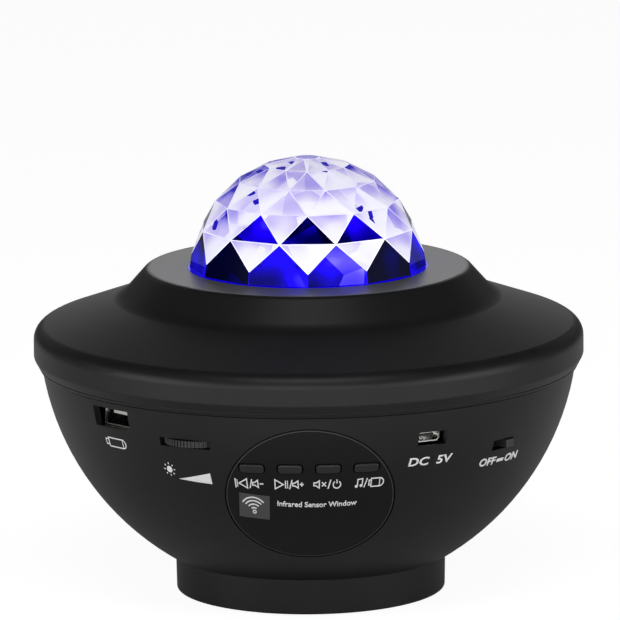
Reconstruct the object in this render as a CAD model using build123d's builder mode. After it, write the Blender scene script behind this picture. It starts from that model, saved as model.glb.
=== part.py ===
"""Star night light projector: a bowl-shaped base under a faceted crystal dome.

Millimetres, +Z up, z = 0 on the table under the rubber feet, and the control panel faces -Y.
Heights are worked out from the table upwards, and every piece that fits another takes its size
from that piece's own values and a named clearance.
"""

from build123d import *
from math import acos, asin, atan2, cos, degrees, pi, radians, sin, sqrt, tan
import os

os.makedirs("parts", exist_ok=True)

# ---------------------------------------------------------------- clearances
fit = 0.1            # glued or dropped-in pieces, per side
loose_fit = 0.4      # pieces that slide through a window, per side
running_fit = 0.06   # shafts in their bores, per side
axial_play = 0.1     # turning rings above the barrel that carries them
screw_fit = 0.15     # screw shank in its hole, per side
cut_through = 10.0   # length of a cut that only has to pass through a wall

# ---------------------------------------------------------------- base: feet, pedestal, bowl
foot_drop = 0.6            # the rubber feet stand this far below the pedestal
foot_radius = 5.0
foot_thickness = 1.6
foot_edge = 0.4
foot_ring_radius = 33.0         # feet, base screws and chassis posts share this circle
foot_count = 4
first_foot_angle = 45.0

pedestal_radius = 40.4     # at the table
pedestal_top_radius = 40.6
pedestal_height = 10.9
pedestal_wall = 2.4
pedestal_floor = 2.2
pedestal_edge = 0.6        # rounding at the table edge
pedestal_tube_radius = 4.2

grille_radius = 25.4
grille_thickness = 1.4
grille_ledge = 1.8
slot_length = 4.6
slot_width = 1.7
slot_ring_spacing = 6.2
slot_rings = 3
slots_in_first_ring = 8

bowl_radius = 80.9         # the bowl is part of a ball
bowl_neck_radius = 41.9    # where the ball is cut off, on top of the pedestal
bowl_wall = 2.2
bowl_floor = 2.2
rim_z = 68.7               # where the top cover sits
seam_gap = 0.4
seam_depth = 1.0
speaker_hole_radius = 21.0

# ---------------------------------------------------------------- top cover
lip_proud = 0.6            # the cover's lower lip stands out past the bowl's rim
band_proud = 1.9           # and the band, the widest ring of the lamp, past that lip
lip_height = 3.6
bead_height = 1.0          # a groove sets off a bead along the foot of that lip
bead_groove = 0.35
band_height = 8.3
brim_margin = 7.7          # from the collar out to the foot of the concave brim
brim_rise = 9.3
collar_margin = 3.2        # from the dome's retainer out to the collar's wall
collar_height = 8.7
cover_wall = 2.2
lip_round = 1.5
shoulder_round = 4.6
brim_round = 8.0
collar_round = 2.6
spigot_depth = 1.8
spigot_wall = 1.8

# ---------------------------------------------------------------- crystal dome
dome_radius = 35.4
dome_sink = 2.2            # the ball's centre lies this far below the collar top
dome_wall = 2.6
dome_sides = 12
facet_latitudes = (10, 24, 39, 54, 69, 84)   # degrees, of each ring of corners
dome_flange_margin = 3.4   # the flange reaches this far under the collar's edge
dome_flange_thickness = 1.5
retainer_thickness = 1.6
retainer_margin = 2.8      # retainer outside its screws
retainer_screw_margin = 3.1
retainer_screw_count = 4
retainer_boss_radius = 2.3

# ---------------------------------------------------------------- chassis and gear train
deck_drop = 20.6           # from the top of the collar down to the deck
deck_thickness = 2.0
deck_margin = 6.0          # deck outside the cover's screws
cover_screw_count = 6
cover_boss_radius = 3.4
post_radius = 3.6
barrel_wall = 1.4
barrel_height = 12.4
lamp_barrel_radius = 17.0
laser_barrel_radius = 5.6
gear_module = 0.8
gear_height = 2.5
pressure_angle_degrees = 20.0
addendum_ratio = 0.8       # of the module
dedendum_ratio = 1.2
tooth_thinning = 0.15      # backlash, taken off each tooth
wave_teeth = 50
grating_teeth = 20
pinion_teeth = 12
skirt_depth = 2.5
skirt_wall = 1.1
ring_lip = 1.2
lens_seat = 1.0            # depth of the seat for the lens in each gear ring
lamp_x = -8.0
motor_width = 12.0
motor_depth = 10.0
motor_length = 24.0
motor_edge = 1.2
motor_gap = 0.7            # from the motor's top to the pinion
motor_shaft_radius = 1.5
motor_shaft_depth = 2.0
motor_sleeve_wall = 1.5
motor_sleeve_height = 9.0
laser_length = 18.0
laser_edge = 0.5

# ---------------------------------------------------------------- lamp
sink_base = 2.0
sink_fin_height = 8.0
sink_fin_thickness = 1.2
sink_fin_spacing = 3.0
sink_margin = 2.4
led_board_thickness = 1.6
led_spacing = 9.0
led_width = 3.4
led_height = 0.9
led_lens_radius = 1.3
lens_rise = 1.1            # gap from an LED package to its collimator
lens_height = 6.0
lens_small_radius = 2.2
lens_large_radius = 4.2
lens_plate = 1.2
lens_leg_radius = 0.9

# ---------------------------------------------------------------- electronics
board_top_z = 60.6
board_thickness = 1.6
board_margin = 3.8         # from the board's edge to the inside of the bowl
board_screw_margin = 7.0
board_screw_start = -15.0
board_screw_span = 210.0
board_screw_count = 4
board_boss_radius = 3.0
board_notch_y = -50.0      # the board is cut back here, behind the control panel
board_web = 3.1            # left between that notch and the small socket
post_hole_gap = 0.8
chip_height = 1.6
processor_width = 14.0
processor_depth = 12.0
processor_x = -18.0
processor_y = 44.0
amplifier_width = 7.0
amplifier_x = 12.0
amplifier_y = 48.0
driver_width = 9.0
driver_depth = 6.0
driver_x = 44.0
driver_y = 12.0
memory_width = 6.0
memory_depth = 9.0
memory_x = -48.0
memory_y = -6.0

usb_azimuth = -47.7
usb_width = 13.2
usb_height = 5.8
usb_length = 14.0
usb_metal = 0.35
usb_back = 2.8             # plastic block at the closed end
usb_tongue_width = 11.0
usb_tongue_thickness = 1.8
usb_tongue_rise = 1.0
usb_tongue_length = 11.2
usb_window_width = 15.2
usb_window_height = 6.1

micro_azimuth = 27.5
micro_width = 7.8
micro_height = 2.9
micro_length = 6.0
micro_metal = 0.3
micro_corner_cut = 0.9
micro_rise = 0.2           # above the middle of the board that it is let into
micro_tongue_width = 4.7
micro_tongue_thickness = 0.7
micro_tongue_rise = 0.35
micro_tongue_length = 4.8
micro_window_width = 9.3
micro_window_height = 4.3

wheel_azimuth = -28.1
wheel_z = 59.0
wheel_radius = 10.4
wheel_thickness = 1.9
wheel_proud = 1.1
wheel_ribs = 58
wheel_rib_depth = 0.45
wheel_rib_top = 0.4        # flat top of a rib, as a share of the rib spacing
wheel_rib_root = 0.68      # foot of a rib, likewise
wheel_slot_width = 16.6
wheel_slot_height = 2.7
pot_radius = 5.5
pot_height = 3.0
pot_shaft_radius = 1.6
pot_arm_width = 7.0
pot_riser_length = 3.9

switch_azimuth = 48.2
switch_z = 54.3
switch_slot_width = 8.8
switch_slot_height = 3.2
switch_travel = 4.6
switch_body_width = 12.4
switch_body_depth = 6.0
switch_body_drop = 3.0     # body below the knob's centre line
knob_width = 3.2
knob_height = 2.4
knob_proud = 0.9
knob_root = 2.0
knob_edge = 0.3

socket_gap = 0.4           # from a socket's mouth to the inside of the bowl

# ---------------------------------------------------------------- control panel
panel_z = 41.4             # height of the panel's middle, on the skin of the bowl
panel_radius = 24.7
panel_thickness = 1.2
panel_groove = 0.3         # ring-shaped gap round the panel
panel_sunk = 0.15
button_z = 52.4
button_spacing = 11.2
button_row_x = -0.2
button_count = 4
button_width = 7.1
button_height = 2.7
button_corner = 0.9
button_proud = 0.35
button_edge = 0.3
button_travel = 0.6
button_flange_depth = 7.2  # below the bowl's skin, along the panel axis
button_flange = 0.8
button_flange_margin = 0.9
button_pin_radius = 1.4
button_pin_length = 1.4
tact_width = 4.5
tact_gap = 0.2             # left between the pressed flange and the switch
ir_x = -16.3
ir_z = 39.6
ir_width = 8.9
ir_height = 9.5
ir_hole = 6.4
ir_lens_radius = 2.0
ir_body_width = 5.4
button_board_depth = 12.6  # below the bowl's skin, along the panel axis
button_board_thickness = 1.6
button_board_width = 44.0
button_board_low = -9.0
button_board_high = 15.2
button_board_spots = ((-19.6, 4.4), (19.6, 4.4), (0.0, -5.0))
button_board_boss_radius = 2.2

# ---------------------------------------------------------------- speaker
speaker_radius = 27.0
speaker_flange = 1.2
speaker_screw_ring_radius = 24.7
speaker_screw_count = 4
speaker_mouth_radius = 21.5
basket_radius = 15.5
basket_height = 13.0
basket_wall = 1.0
magnet_radius = 15.0
magnet_height = 9.0
magnet_edge = 1.0
cone_thickness = 0.8
cone_surround = 2.4
cone_deep_radius = 7.0
cone_depth = 8.0

# ---------------------------------------------------------------- screws
screw_radius = 1.3
small_screw_radius = 0.9
head_ratio = 1.9           # screw head radius over shank radius
head_height = 1.6
screw_bite = 6.0           # length of thread in the plastic
small_screw_bite = 3.0

# ---------------------------------------------------------------- worked-out heights and radii
neck_z = foot_drop + pedestal_height
bowl_floor_z = neck_z + bowl_floor
bowl_centre_z = neck_z + sqrt(bowl_radius**2 - bowl_neck_radius**2)
foot_recess = foot_thickness - foot_drop
base_head_z = foot_drop + pedestal_height / 2
band_bottom_z = rim_z + lip_height
shoulder_z = band_bottom_z + band_height
brim_z = shoulder_z + brim_rise
collar_z = brim_z + collar_height
deck_z = collar_z - deck_drop
deck_under_z = deck_z - deck_thickness
board_under_z = board_top_z - board_thickness
dome_z = collar_z - dome_sink
collar_under_z = collar_z - cover_wall
flange_under_z = collar_under_z - dome_flange_thickness
retainer_under_z = flange_under_z - retainer_thickness
barrel_top_z = deck_z + barrel_height
gear_under_z = barrel_top_z + axial_play
gear_top_z = gear_under_z + gear_height
wave_pitch_radius = gear_module * wave_teeth / 2
grating_pitch_radius = gear_module * grating_teeth / 2
pinion_pitch_radius = gear_module * pinion_teeth / 2
laser_x = lamp_x + wave_pitch_radius + grating_pitch_radius
motor_y = wave_pitch_radius + pinion_pitch_radius
motor_top_z = gear_under_z - motor_gap
lamp_bore = lamp_barrel_radius - barrel_wall
laser_bore = laser_barrel_radius - barrel_wall
sink_width = (lamp_bore - fit) * sqrt(2)
sink_top_z = deck_z + sink_base
led_board_top_z = sink_top_z + led_board_thickness
led_top_z = led_board_top_z + led_height
lens_base_z = led_top_z + lens_rise
lens_top_z = lens_base_z + lens_height
screw_hole = screw_radius + screw_fit
small_screw_hole = small_screw_radius + screw_fit
head_radius = screw_radius * head_ratio
usb_z = board_top_z + usb_height / 2
micro_z = board_under_z + board_thickness / 2 + micro_rise
panel_tilt = asin((bowl_centre_z - panel_z) / bowl_radius)
button_flange_top = bowl_radius - button_flange_depth
button_board_top = bowl_radius - button_board_depth


def bowl_reach(height, inset=0.0):
    """Radius of the ball, made smaller by inset, at a height above the table."""
    return sqrt((bowl_radius - inset) ** 2 - (bowl_centre_z - height) ** 2)


def wall_plane(azimuth, height):
    """Upright plane through the vertical axis that faces outwards at an azimuth from the front."""
    angle = radians(azimuth)
    return Plane(
        origin=(0, 0, height),
        x_dir=(cos(angle), sin(angle), 0),
        z_dir=(sin(angle), -cos(angle), 0),
    )


panel_plane = Plane(
    origin=(0, 0, bowl_centre_z),
    x_dir=(1, 0, 0),
    z_dir=(0, -cos(panel_tilt), -sin(panel_tilt)),
)


def on_panel(x, height):
    """Panel coordinates of the point of the bowl's skin at x and a height above the table."""
    drop = bowl_centre_z - height
    forward = sqrt(bowl_radius**2 - drop**2 - x**2)
    local = panel_plane.to_local_coords(Vector(x, -forward, height))
    return (local.X, local.Y)


def level_place(spot):
    """Place on the panel, turned so that what stands there runs level along the bowl."""
    x, y = spot
    depth = sqrt(bowl_radius**2 - x**2 - y**2)
    turn = atan2(-x * sin(panel_tilt), depth * cos(panel_tilt) + y * sin(panel_tilt))
    return Location((x, y, 0), (0, 0, degrees(turn)))


def around(count, start=0.0):
    """Angles of a full ring of equally spaced pieces."""
    return [start + 360 / count * index for index in range(count)]


def keep(piece, name):
    """Name a finished piece and write its file."""
    piece.part.label = name
    export_step(piece.part, f"parts/{name}.step")


def mouth_reach(half_width, lowest_z):
    """How far out a piece with an upright face can stand before its lower corners meet the bowl."""
    return sqrt(bowl_reach(lowest_z, bowl_wall) ** 2 - half_width**2) - socket_gap


# The radii that the pieces at the bowl's wall take from it.
lip_radius = bowl_reach(rim_z) + lip_proud
band_radius = lip_radius + band_proud
board_radius = bowl_reach(board_under_z, bowl_wall) - board_margin
board_screw_ring_radius = board_radius - board_screw_margin
wheel_centre = bowl_reach(wheel_z) + wheel_proud - wheel_radius
micro_plane = wall_plane(micro_azimuth, micro_z)
usb_plane = wall_plane(usb_azimuth, usb_z)
switch_plane = wall_plane(switch_azimuth, switch_z)
wheel_plane = wall_plane(wheel_azimuth, wheel_z)
usb_mouth = mouth_reach(usb_width / 2, usb_z - usb_height / 2)
micro_mouth = mouth_reach(micro_width / 2, micro_z - micro_height / 2)
switch_bottom_z = switch_z - switch_body_drop
switch_face = mouth_reach(switch_body_width / 2, switch_bottom_z)
button_spots = [
    on_panel(button_row_x + (index - (button_count - 1) / 2) * button_spacing, button_z)
    for index in range(button_count)
]
button_places = [level_place(spot) for spot in button_spots]
ir_spot = on_panel(ir_x, ir_z)
screen_inset = panel_thickness + panel_sunk


# ================================================================ feet, pedestal and grille
for index, angle in enumerate(around(foot_count, first_foot_angle), start=1):
    with BuildPart() as rubber_foot:
        with BuildSketch():
            with PolarLocations(foot_ring_radius, 1, start_angle=angle):
                Circle(foot_radius)
        extrude(amount=foot_thickness)
        fillet(rubber_foot.edges().group_by(Axis.Z)[0], radius=foot_edge)
    keep(rubber_foot, f"rubber_foot_{index}")

with BuildPart() as pedestal:
    with BuildSketch(Plane.XZ) as pedestal_section:
        with BuildLine():
            Polyline(
                (grille_radius + fit - grille_ledge, foot_drop + grille_thickness),
                (grille_radius + fit - grille_ledge, foot_drop + pedestal_floor),
                (pedestal_radius - pedestal_wall, foot_drop + pedestal_floor),
                (pedestal_top_radius - pedestal_wall, neck_z),
                (pedestal_top_radius, neck_z),
                (pedestal_radius, foot_drop),
                (grille_radius + fit, foot_drop),
                (grille_radius + fit, foot_drop + grille_thickness),
                close=True,
            )
        make_face()
        fillet(pedestal_section.vertices().group_by(Axis.Y)[0].sort_by(Axis.X)[-1], radius=pedestal_edge)
    revolve(axis=Axis.Z)
    with BuildSketch(Plane.XY.offset(foot_drop + pedestal_floor)):
        with PolarLocations(foot_ring_radius, foot_count, start_angle=first_foot_angle):
            Circle(pedestal_tube_radius)
    extrude(amount=pedestal_height - pedestal_floor)
    with BuildSketch(Plane.XY.offset(foot_drop)):
        with PolarLocations(foot_ring_radius, foot_count, start_angle=first_foot_angle):
            Circle(foot_radius + fit)
    extrude(amount=foot_recess, mode=Mode.SUBTRACT)
    with BuildSketch(Plane.XY.offset(foot_drop)):
        with PolarLocations(foot_ring_radius, foot_count, start_angle=first_foot_angle):
            Circle(head_radius + loose_fit)
    extrude(amount=base_head_z - foot_drop, mode=Mode.SUBTRACT)
    with BuildSketch(Plane.XY.offset(foot_drop)):
        with PolarLocations(foot_ring_radius, foot_count, start_angle=first_foot_angle):
            Circle(screw_hole)
    extrude(amount=pedestal_height, mode=Mode.SUBTRACT)
keep(pedestal, "pedestal")

with BuildPart() as speaker_grille:
    with BuildSketch(Plane.XY.offset(foot_drop)):
        Circle(grille_radius)
        for ring in range(1, slot_rings + 1):
            with PolarLocations(ring * slot_ring_spacing + slot_length / 2, ring * slots_in_first_ring):
                SlotOverall(slot_length, slot_width, mode=Mode.SUBTRACT)
    extrude(amount=grille_thickness)
keep(speaker_grille, "speaker_grille")

# ================================================================ bowl and control panel
with BuildPart() as panel_recess:
    with BuildSketch(panel_plane):
        Circle(panel_radius + panel_groove)
    extrude(amount=bowl_radius * 2)
    with Locations((0, 0, bowl_centre_z)):
        Sphere(bowl_radius - screen_inset, mode=Mode.SUBTRACT)

with BuildPart() as bowl_housing:
    # Screw bosses first, trimmed to the inside of the ball before the wall is added.
    with BuildSketch(Plane.XY.offset(board_under_z)):
        with PolarLocations(
            board_screw_ring_radius, board_screw_count, board_screw_start, board_screw_span, endpoint=True
        ):
            Circle(board_boss_radius)
            Circle(small_screw_hole, mode=Mode.SUBTRACT)
    extrude(amount=-board_under_z)
    with BuildSketch(panel_plane.offset(button_board_top)):
        with Locations(*button_board_spots):
            Circle(button_board_boss_radius)
            Circle(small_screw_hole, mode=Mode.SUBTRACT)
    extrude(amount=bowl_radius)
    with Locations((0, 0, bowl_centre_z)):
        Sphere(bowl_radius - bowl_wall / 2, mode=Mode.INTERSECT)
    with BuildSketch(Plane.XZ):
        with BuildLine():
            skin = ThreePointArc(
                (bowl_reach(neck_z), neck_z),
                (bowl_reach(rim_z / 2), rim_z / 2),
                (bowl_reach(rim_z - seam_gap), rim_z - seam_gap),
            )
            inside = ThreePointArc(
                (bowl_reach(rim_z, bowl_wall), rim_z),
                (bowl_reach(rim_z / 2, bowl_wall), rim_z / 2),
                (bowl_reach(bowl_floor_z, bowl_wall), bowl_floor_z),
            )
            Polyline(
                skin @ 1,
                (bowl_reach(rim_z) - seam_depth, rim_z - seam_gap),
                (bowl_reach(rim_z) - seam_depth, rim_z),
                inside @ 0,
            )
            Polyline(
                inside @ 1,
                (speaker_hole_radius, bowl_floor_z),
                (speaker_hole_radius, neck_z),
                skin @ 0,
            )
        make_face()
    revolve(axis=Axis.Z)
    # The panel's recess, with the holes for the buttons and the remote sensor behind it.
    add(panel_recess.part, mode=Mode.SUBTRACT)
    with BuildSketch(panel_plane.offset(button_flange_top)):
        with Locations(*button_places):
            RectangleRounded(
                button_width + 2 * loose_fit, button_height + 2 * loose_fit, button_corner + loose_fit
            )
        with Locations(ir_spot):
            Rectangle(ir_hole, ir_hole)
    extrude(amount=bowl_radius, mode=Mode.SUBTRACT)
    # Windows for the two sockets, the thumbwheel and the power switch.
    with BuildSketch(usb_plane.offset(usb_mouth)):
        Rectangle(usb_window_width, usb_window_height)
    extrude(amount=cut_through, mode=Mode.SUBTRACT)
    with BuildSketch(micro_plane.offset(micro_mouth)):
        Rectangle(micro_window_width, micro_window_height)
    extrude(amount=cut_through, mode=Mode.SUBTRACT)
    with BuildSketch(wheel_plane.offset(wheel_centre)):
        Rectangle(wheel_slot_width, wheel_slot_height)
    extrude(amount=wheel_radius + bowl_wall, mode=Mode.SUBTRACT)
    with BuildSketch(switch_plane.offset(switch_face)):
        Rectangle(switch_slot_width, switch_slot_height)
    extrude(amount=cut_through, mode=Mode.SUBTRACT)
    # Screws through the floor into the chassis posts, and the speaker's own screws.
    with BuildSketch(Plane.XY.offset(neck_z)):
        with PolarLocations(foot_ring_radius, foot_count, start_angle=first_foot_angle):
            Circle(screw_hole)
        with PolarLocations(speaker_screw_ring_radius, speaker_screw_count):
            Circle(small_screw_hole)
    extrude(amount=bowl_floor, mode=Mode.SUBTRACT)
keep(bowl_housing, "bowl_housing")


def panel_skin(low_inset, high_inset):
    """Keep only what lies between two balls round the centre of the bowl."""
    with Locations((0, 0, bowl_centre_z)):
        Sphere(bowl_radius - high_inset, mode=Mode.INTERSECT)
        Sphere(bowl_radius - low_inset, mode=Mode.SUBTRACT)


with BuildPart() as control_panel:
    with BuildSketch(panel_plane):
        Circle(panel_radius)
        with Locations(*button_places):
            RectangleRounded(
                button_width + 2 * loose_fit,
                button_height + 2 * loose_fit,
                button_corner + loose_fit,
                mode=Mode.SUBTRACT,
            )
        with Locations(ir_spot):
            Rectangle(ir_width + 2 * fit, ir_height + 2 * fit, mode=Mode.SUBTRACT)
    extrude(amount=bowl_radius * 2)
    panel_skin(screen_inset - fit / 2, panel_sunk)
keep(control_panel, "control_panel")

with BuildPart() as sensor_window:
    with BuildSketch(panel_plane):
        with Locations(ir_spot):
            Rectangle(ir_width, ir_height)
    extrude(amount=bowl_radius * 2)
    panel_skin(screen_inset - fit / 2, panel_sunk)
keep(sensor_window, "sensor_window")

tact_top = button_flange_top - button_flange - button_travel - tact_gap
for index, place in enumerate(button_places, start=1):
    with BuildPart() as button:
        with BuildSketch(panel_plane.offset(button_flange_top - button_flange)):
            with Locations(place):
                RectangleRounded(button_width, button_height, button_corner)
        extrude(amount=bowl_radius)
        with Locations((0, 0, bowl_centre_z)):
            Sphere(bowl_radius + button_proud, mode=Mode.INTERSECT)
        fillet(button.faces().filter_by(GeomType.SPHERE).edges(), radius=button_edge)
        with BuildSketch(panel_plane.offset(button_flange_top - button_flange)):
            with Locations(place):
                RectangleRounded(
                    button_width + 2 * button_flange_margin,
                    button_height + 2 * button_flange_margin,
                    button_corner,
                )
        extrude(amount=button_flange)
        with BuildSketch(panel_plane.offset(button_flange_top - button_flange)):
            with Locations(place):
                Circle(button_pin_radius)
        extrude(amount=-button_pin_length)
    keep(button, f"button_{index}")

# ================================================================ board behind the panel
with BuildPart() as button_board:
    with BuildSketch(panel_plane.offset(button_board_top)):
        with Locations((0, (button_board_low + button_board_high) / 2)):
            Rectangle(button_board_width, button_board_high - button_board_low)
        with Locations(*button_board_spots):
            Circle(small_screw_hole, mode=Mode.SUBTRACT)
    extrude(amount=-button_board_thickness)
keep(button_board, "button_board")

with BuildPart() as tact_switches:
    with BuildSketch(panel_plane.offset(button_board_top)):
        with Locations(*button_places):
            Rectangle(tact_width, tact_width)
    extrude(amount=tact_top - button_board_top)
    with BuildSketch(panel_plane.offset(tact_top)):
        with Locations(*button_places):
            Circle(button_pin_radius + loose_fit)
    extrude(amount=-button_pin_length, mode=Mode.SUBTRACT)
keep(tact_switches, "tact_switches")

with BuildPart() as remote_sensor:
    with BuildSketch(panel_plane.offset(button_board_top)):
        with Locations(ir_spot):
            Rectangle(ir_body_width, ir_body_width)
    extrude(amount=button_flange_top - button_board_top - ir_lens_radius)
    with Locations(
        panel_plane.location * Pos(ir_spot[0], ir_spot[1], button_flange_top - ir_lens_radius)
    ):
        Sphere(ir_lens_radius)
keep(remote_sensor, "remote_sensor")

# ================================================================ shape of the crystal
def dome_ring(order):
    """Corners of one ring of the crystal; every other ring is turned by half a side."""
    latitude = radians(facet_latitudes[order])
    turn = pi / dome_sides * (order % 2)
    return [
        Vector(
            dome_radius * cos(latitude) * cos(2 * pi * side / dome_sides + turn),
            dome_radius * cos(latitude) * sin(2 * pi * side / dome_sides + turn),
            dome_z + dome_radius * sin(latitude),
        )
        for side in range(dome_sides)
    ]


def polygon_face(*corners):
    """Flat face through its corners."""
    return Face(Wire.make_polygon(corners, close=True))


def slide_down(corner, apex, height):
    """Extend the flat side between two corners of the first ring and an apex down to a height."""
    across = Vector(corner.X, corner.Y).length * cos(pi / dome_sides)
    lean = (across - Vector(apex.X, apex.Y).length) / (apex.Z - corner.Z)
    spread = 1 + lean * (corner.Z - height) / across
    return Vector(corner.X * spread, corner.Y * spread, height)


def crystal_faces():
    """Outer and bottom faces of the solid crystal, ring by ring."""
    rings = [dome_ring(order) for order in range(len(facet_latitudes))]
    faces = []
    feet = []
    for side in range(dome_sides):
        left, right = rings[0][side], rings[0][(side + 1) % dome_sides]
        apex = rings[1][side]
        foot = slide_down(left, apex, flange_under_z)
        other_foot = slide_down(right, apex, flange_under_z)
        feet.append(foot)
        faces.append(polygon_face(foot, other_foot, right, apex, left))
        faces.append(polygon_face(left, apex, rings[1][side - 1]))
    for order in range(1, len(rings) - 1):
        low, high = rings[order], rings[order + 1]
        for side in range(dome_sides):
            # An odd ring is turned forward, so the corner above sits one place further on.
            above = high[(side + order % 2) % dome_sides]
            faces.append(polygon_face(low[side], low[(side + 1) % dome_sides], above))
            before = high[(side + order % 2 - 1) % dome_sides]
            faces.append(polygon_face(low[side], above, before))
    faces.append(polygon_face(*rings[-1]))
    faces.append(polygon_face(*feet))
    return faces


# ================================================================ top cover
def inset_path(points, distance):
    """Move an open path sideways, to the left of its direction, with mitred corners."""
    lines = []
    for (x1, z1), (x2, z2) in zip(points, points[1:]):
        length = sqrt((x2 - x1) ** 2 + (z2 - z1) ** 2)
        side = (-(z2 - z1) / length * distance, (x2 - x1) / length * distance)
        lines.append((x1 + side[0], z1 + side[1], x2 - x1, z2 - z1))
    moved = [lines[0][:2]]
    for (ax, az, adx, adz), (bx, bz, bdx, bdz) in zip(lines, lines[1:]):
        along = ((bx - ax) * bdz - (bz - az) * bdx) / (adx * bdz - adz * bdx)
        moved.append((ax + adx * along, az + adz * along))
    last = lines[-1]
    moved.append((last[0] + last[2], last[1] + last[3]))
    return moved


spigot_radius = bowl_reach(rim_z - spigot_depth, bowl_wall) - loose_fit
crystal_foot = slide_down(dome_ring(0)[0], dome_ring(1)[0], collar_under_z)
collar_hole_radius = Vector(crystal_foot.X, crystal_foot.Y).length + 2 * fit
dome_flange_radius = collar_hole_radius + dome_flange_margin
retainer_screw_ring_radius = dome_flange_radius + retainer_screw_margin
retainer_radius = retainer_screw_ring_radius + retainer_margin
collar_radius = retainer_radius + collar_margin
brim_radius = collar_radius + brim_margin
cover_screw_ring_radius = brim_radius
cover_path = [
    (spigot_radius - spigot_wall, rim_z),
    (lip_radius, rim_z),
    (band_radius, band_bottom_z),
    (band_radius, shoulder_z),
    (brim_radius, brim_z),
    (collar_radius, collar_z),
    (collar_hole_radius, collar_z),
]
inner_path = inset_path(cover_path, cover_wall)
outer_rounds = (0, lip_round, shoulder_round, brim_round, collar_round)
inner_rounds = (0, 0, shoulder_round - cover_wall, brim_round + cover_wall, collar_round - cover_wall)

with BuildPart() as top_cover:
    with BuildSketch(Plane.XY.offset(deck_z)):
        with PolarLocations(cover_screw_ring_radius, cover_screw_count):
            Circle(cover_boss_radius)
    extrude(amount=collar_z - deck_z)
    with BuildSketch(Plane.XY.offset(flange_under_z)):
        with PolarLocations(retainer_screw_ring_radius, retainer_screw_count, start_angle=first_foot_angle):
            Circle(retainer_boss_radius)
    extrude(amount=collar_z - flange_under_z)
    with BuildSketch(Plane.XZ):
        with BuildLine():
            crown_line = FilletPolyline(*cover_path, radius=outer_rounds)
            Polyline(crown_line @ 1, (0, collar_z), (0, rim_z), crown_line @ 0)
        make_face()
    revolve(axis=Axis.Z, mode=Mode.INTERSECT)
    with BuildSketch(Plane.XZ):
        with BuildLine():
            outer_line = FilletPolyline(*cover_path, radius=outer_rounds)
            inner_line = FilletPolyline(*inner_path, radius=inner_rounds)
            Line(outer_line @ 1, inner_line @ 1)
            Line(inner_line @ 0, outer_line @ 0)
        make_face()
    revolve(axis=Axis.Z)
    bead_reach = lip_radius + band_proud * bead_height / lip_height
    with BuildSketch(Plane.XZ):
        with Locations((bead_reach, rim_z + bead_height)):
            Rectangle(2 * bead_groove, bead_groove)
    revolve(axis=Axis.Z, mode=Mode.SUBTRACT)
    with BuildSketch(Plane.XY.offset(rim_z)):
        Circle(spigot_radius)
        Circle(spigot_radius - spigot_wall, mode=Mode.SUBTRACT)
    extrude(amount=-spigot_depth)
    with BuildSketch(Plane.XY.offset(deck_z)):
        with PolarLocations(cover_screw_ring_radius, cover_screw_count):
            Circle(screw_hole)
    extrude(amount=screw_bite, mode=Mode.SUBTRACT)
    with BuildSketch(Plane.XY.offset(flange_under_z)):
        with PolarLocations(retainer_screw_ring_radius, retainer_screw_count, start_angle=first_foot_angle):
            Circle(small_screw_hole)
    extrude(amount=small_screw_bite - fit, mode=Mode.SUBTRACT)
keep(top_cover, "top_cover")

# ================================================================ crystal dome
with BuildPart() as dome:
    add(Solid(Shell(crystal_faces())))
    with BuildSketch(Plane.XY.offset(flange_under_z)):
        Circle(dome_flange_radius)
    extrude(amount=dome_flange_thickness)
    # A round plinth fills the collar's hole up to its top edge.
    with BuildSketch(Plane.XY.offset(flange_under_z)):
        Circle(collar_hole_radius - fit)
    extrude(amount=collar_z - flange_under_z)
    with Locations((0, 0, dome_z)):
        Sphere(dome_radius - dome_wall, mode=Mode.SUBTRACT)
    with BuildSketch(Plane.XY.offset(flange_under_z)):
        Circle(dome_radius - dome_wall)
    extrude(amount=dome_z - flange_under_z, mode=Mode.SUBTRACT)
keep(dome, "dome")

with BuildPart() as dome_retainer:
    with BuildSketch(Plane.XY.offset(retainer_under_z)):
        Circle(retainer_radius)
        Circle(dome_radius - dome_wall + loose_fit, mode=Mode.SUBTRACT)
        with PolarLocations(retainer_screw_ring_radius, retainer_screw_count, start_angle=first_foot_angle):
            Circle(small_screw_hole, mode=Mode.SUBTRACT)
    extrude(amount=retainer_thickness)
keep(dome_retainer, "dome_retainer")

# ================================================================ chassis under the dome
lamp_spot = (lamp_x, 0)
laser_spot = (laser_x, 0)
motor_spot = (lamp_x, motor_y)
laser_bottom_z = deck_under_z - laser_length / 2
fin_width = sink_width - 2 * sink_margin
deck_radius = cover_screw_ring_radius + deck_margin

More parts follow.
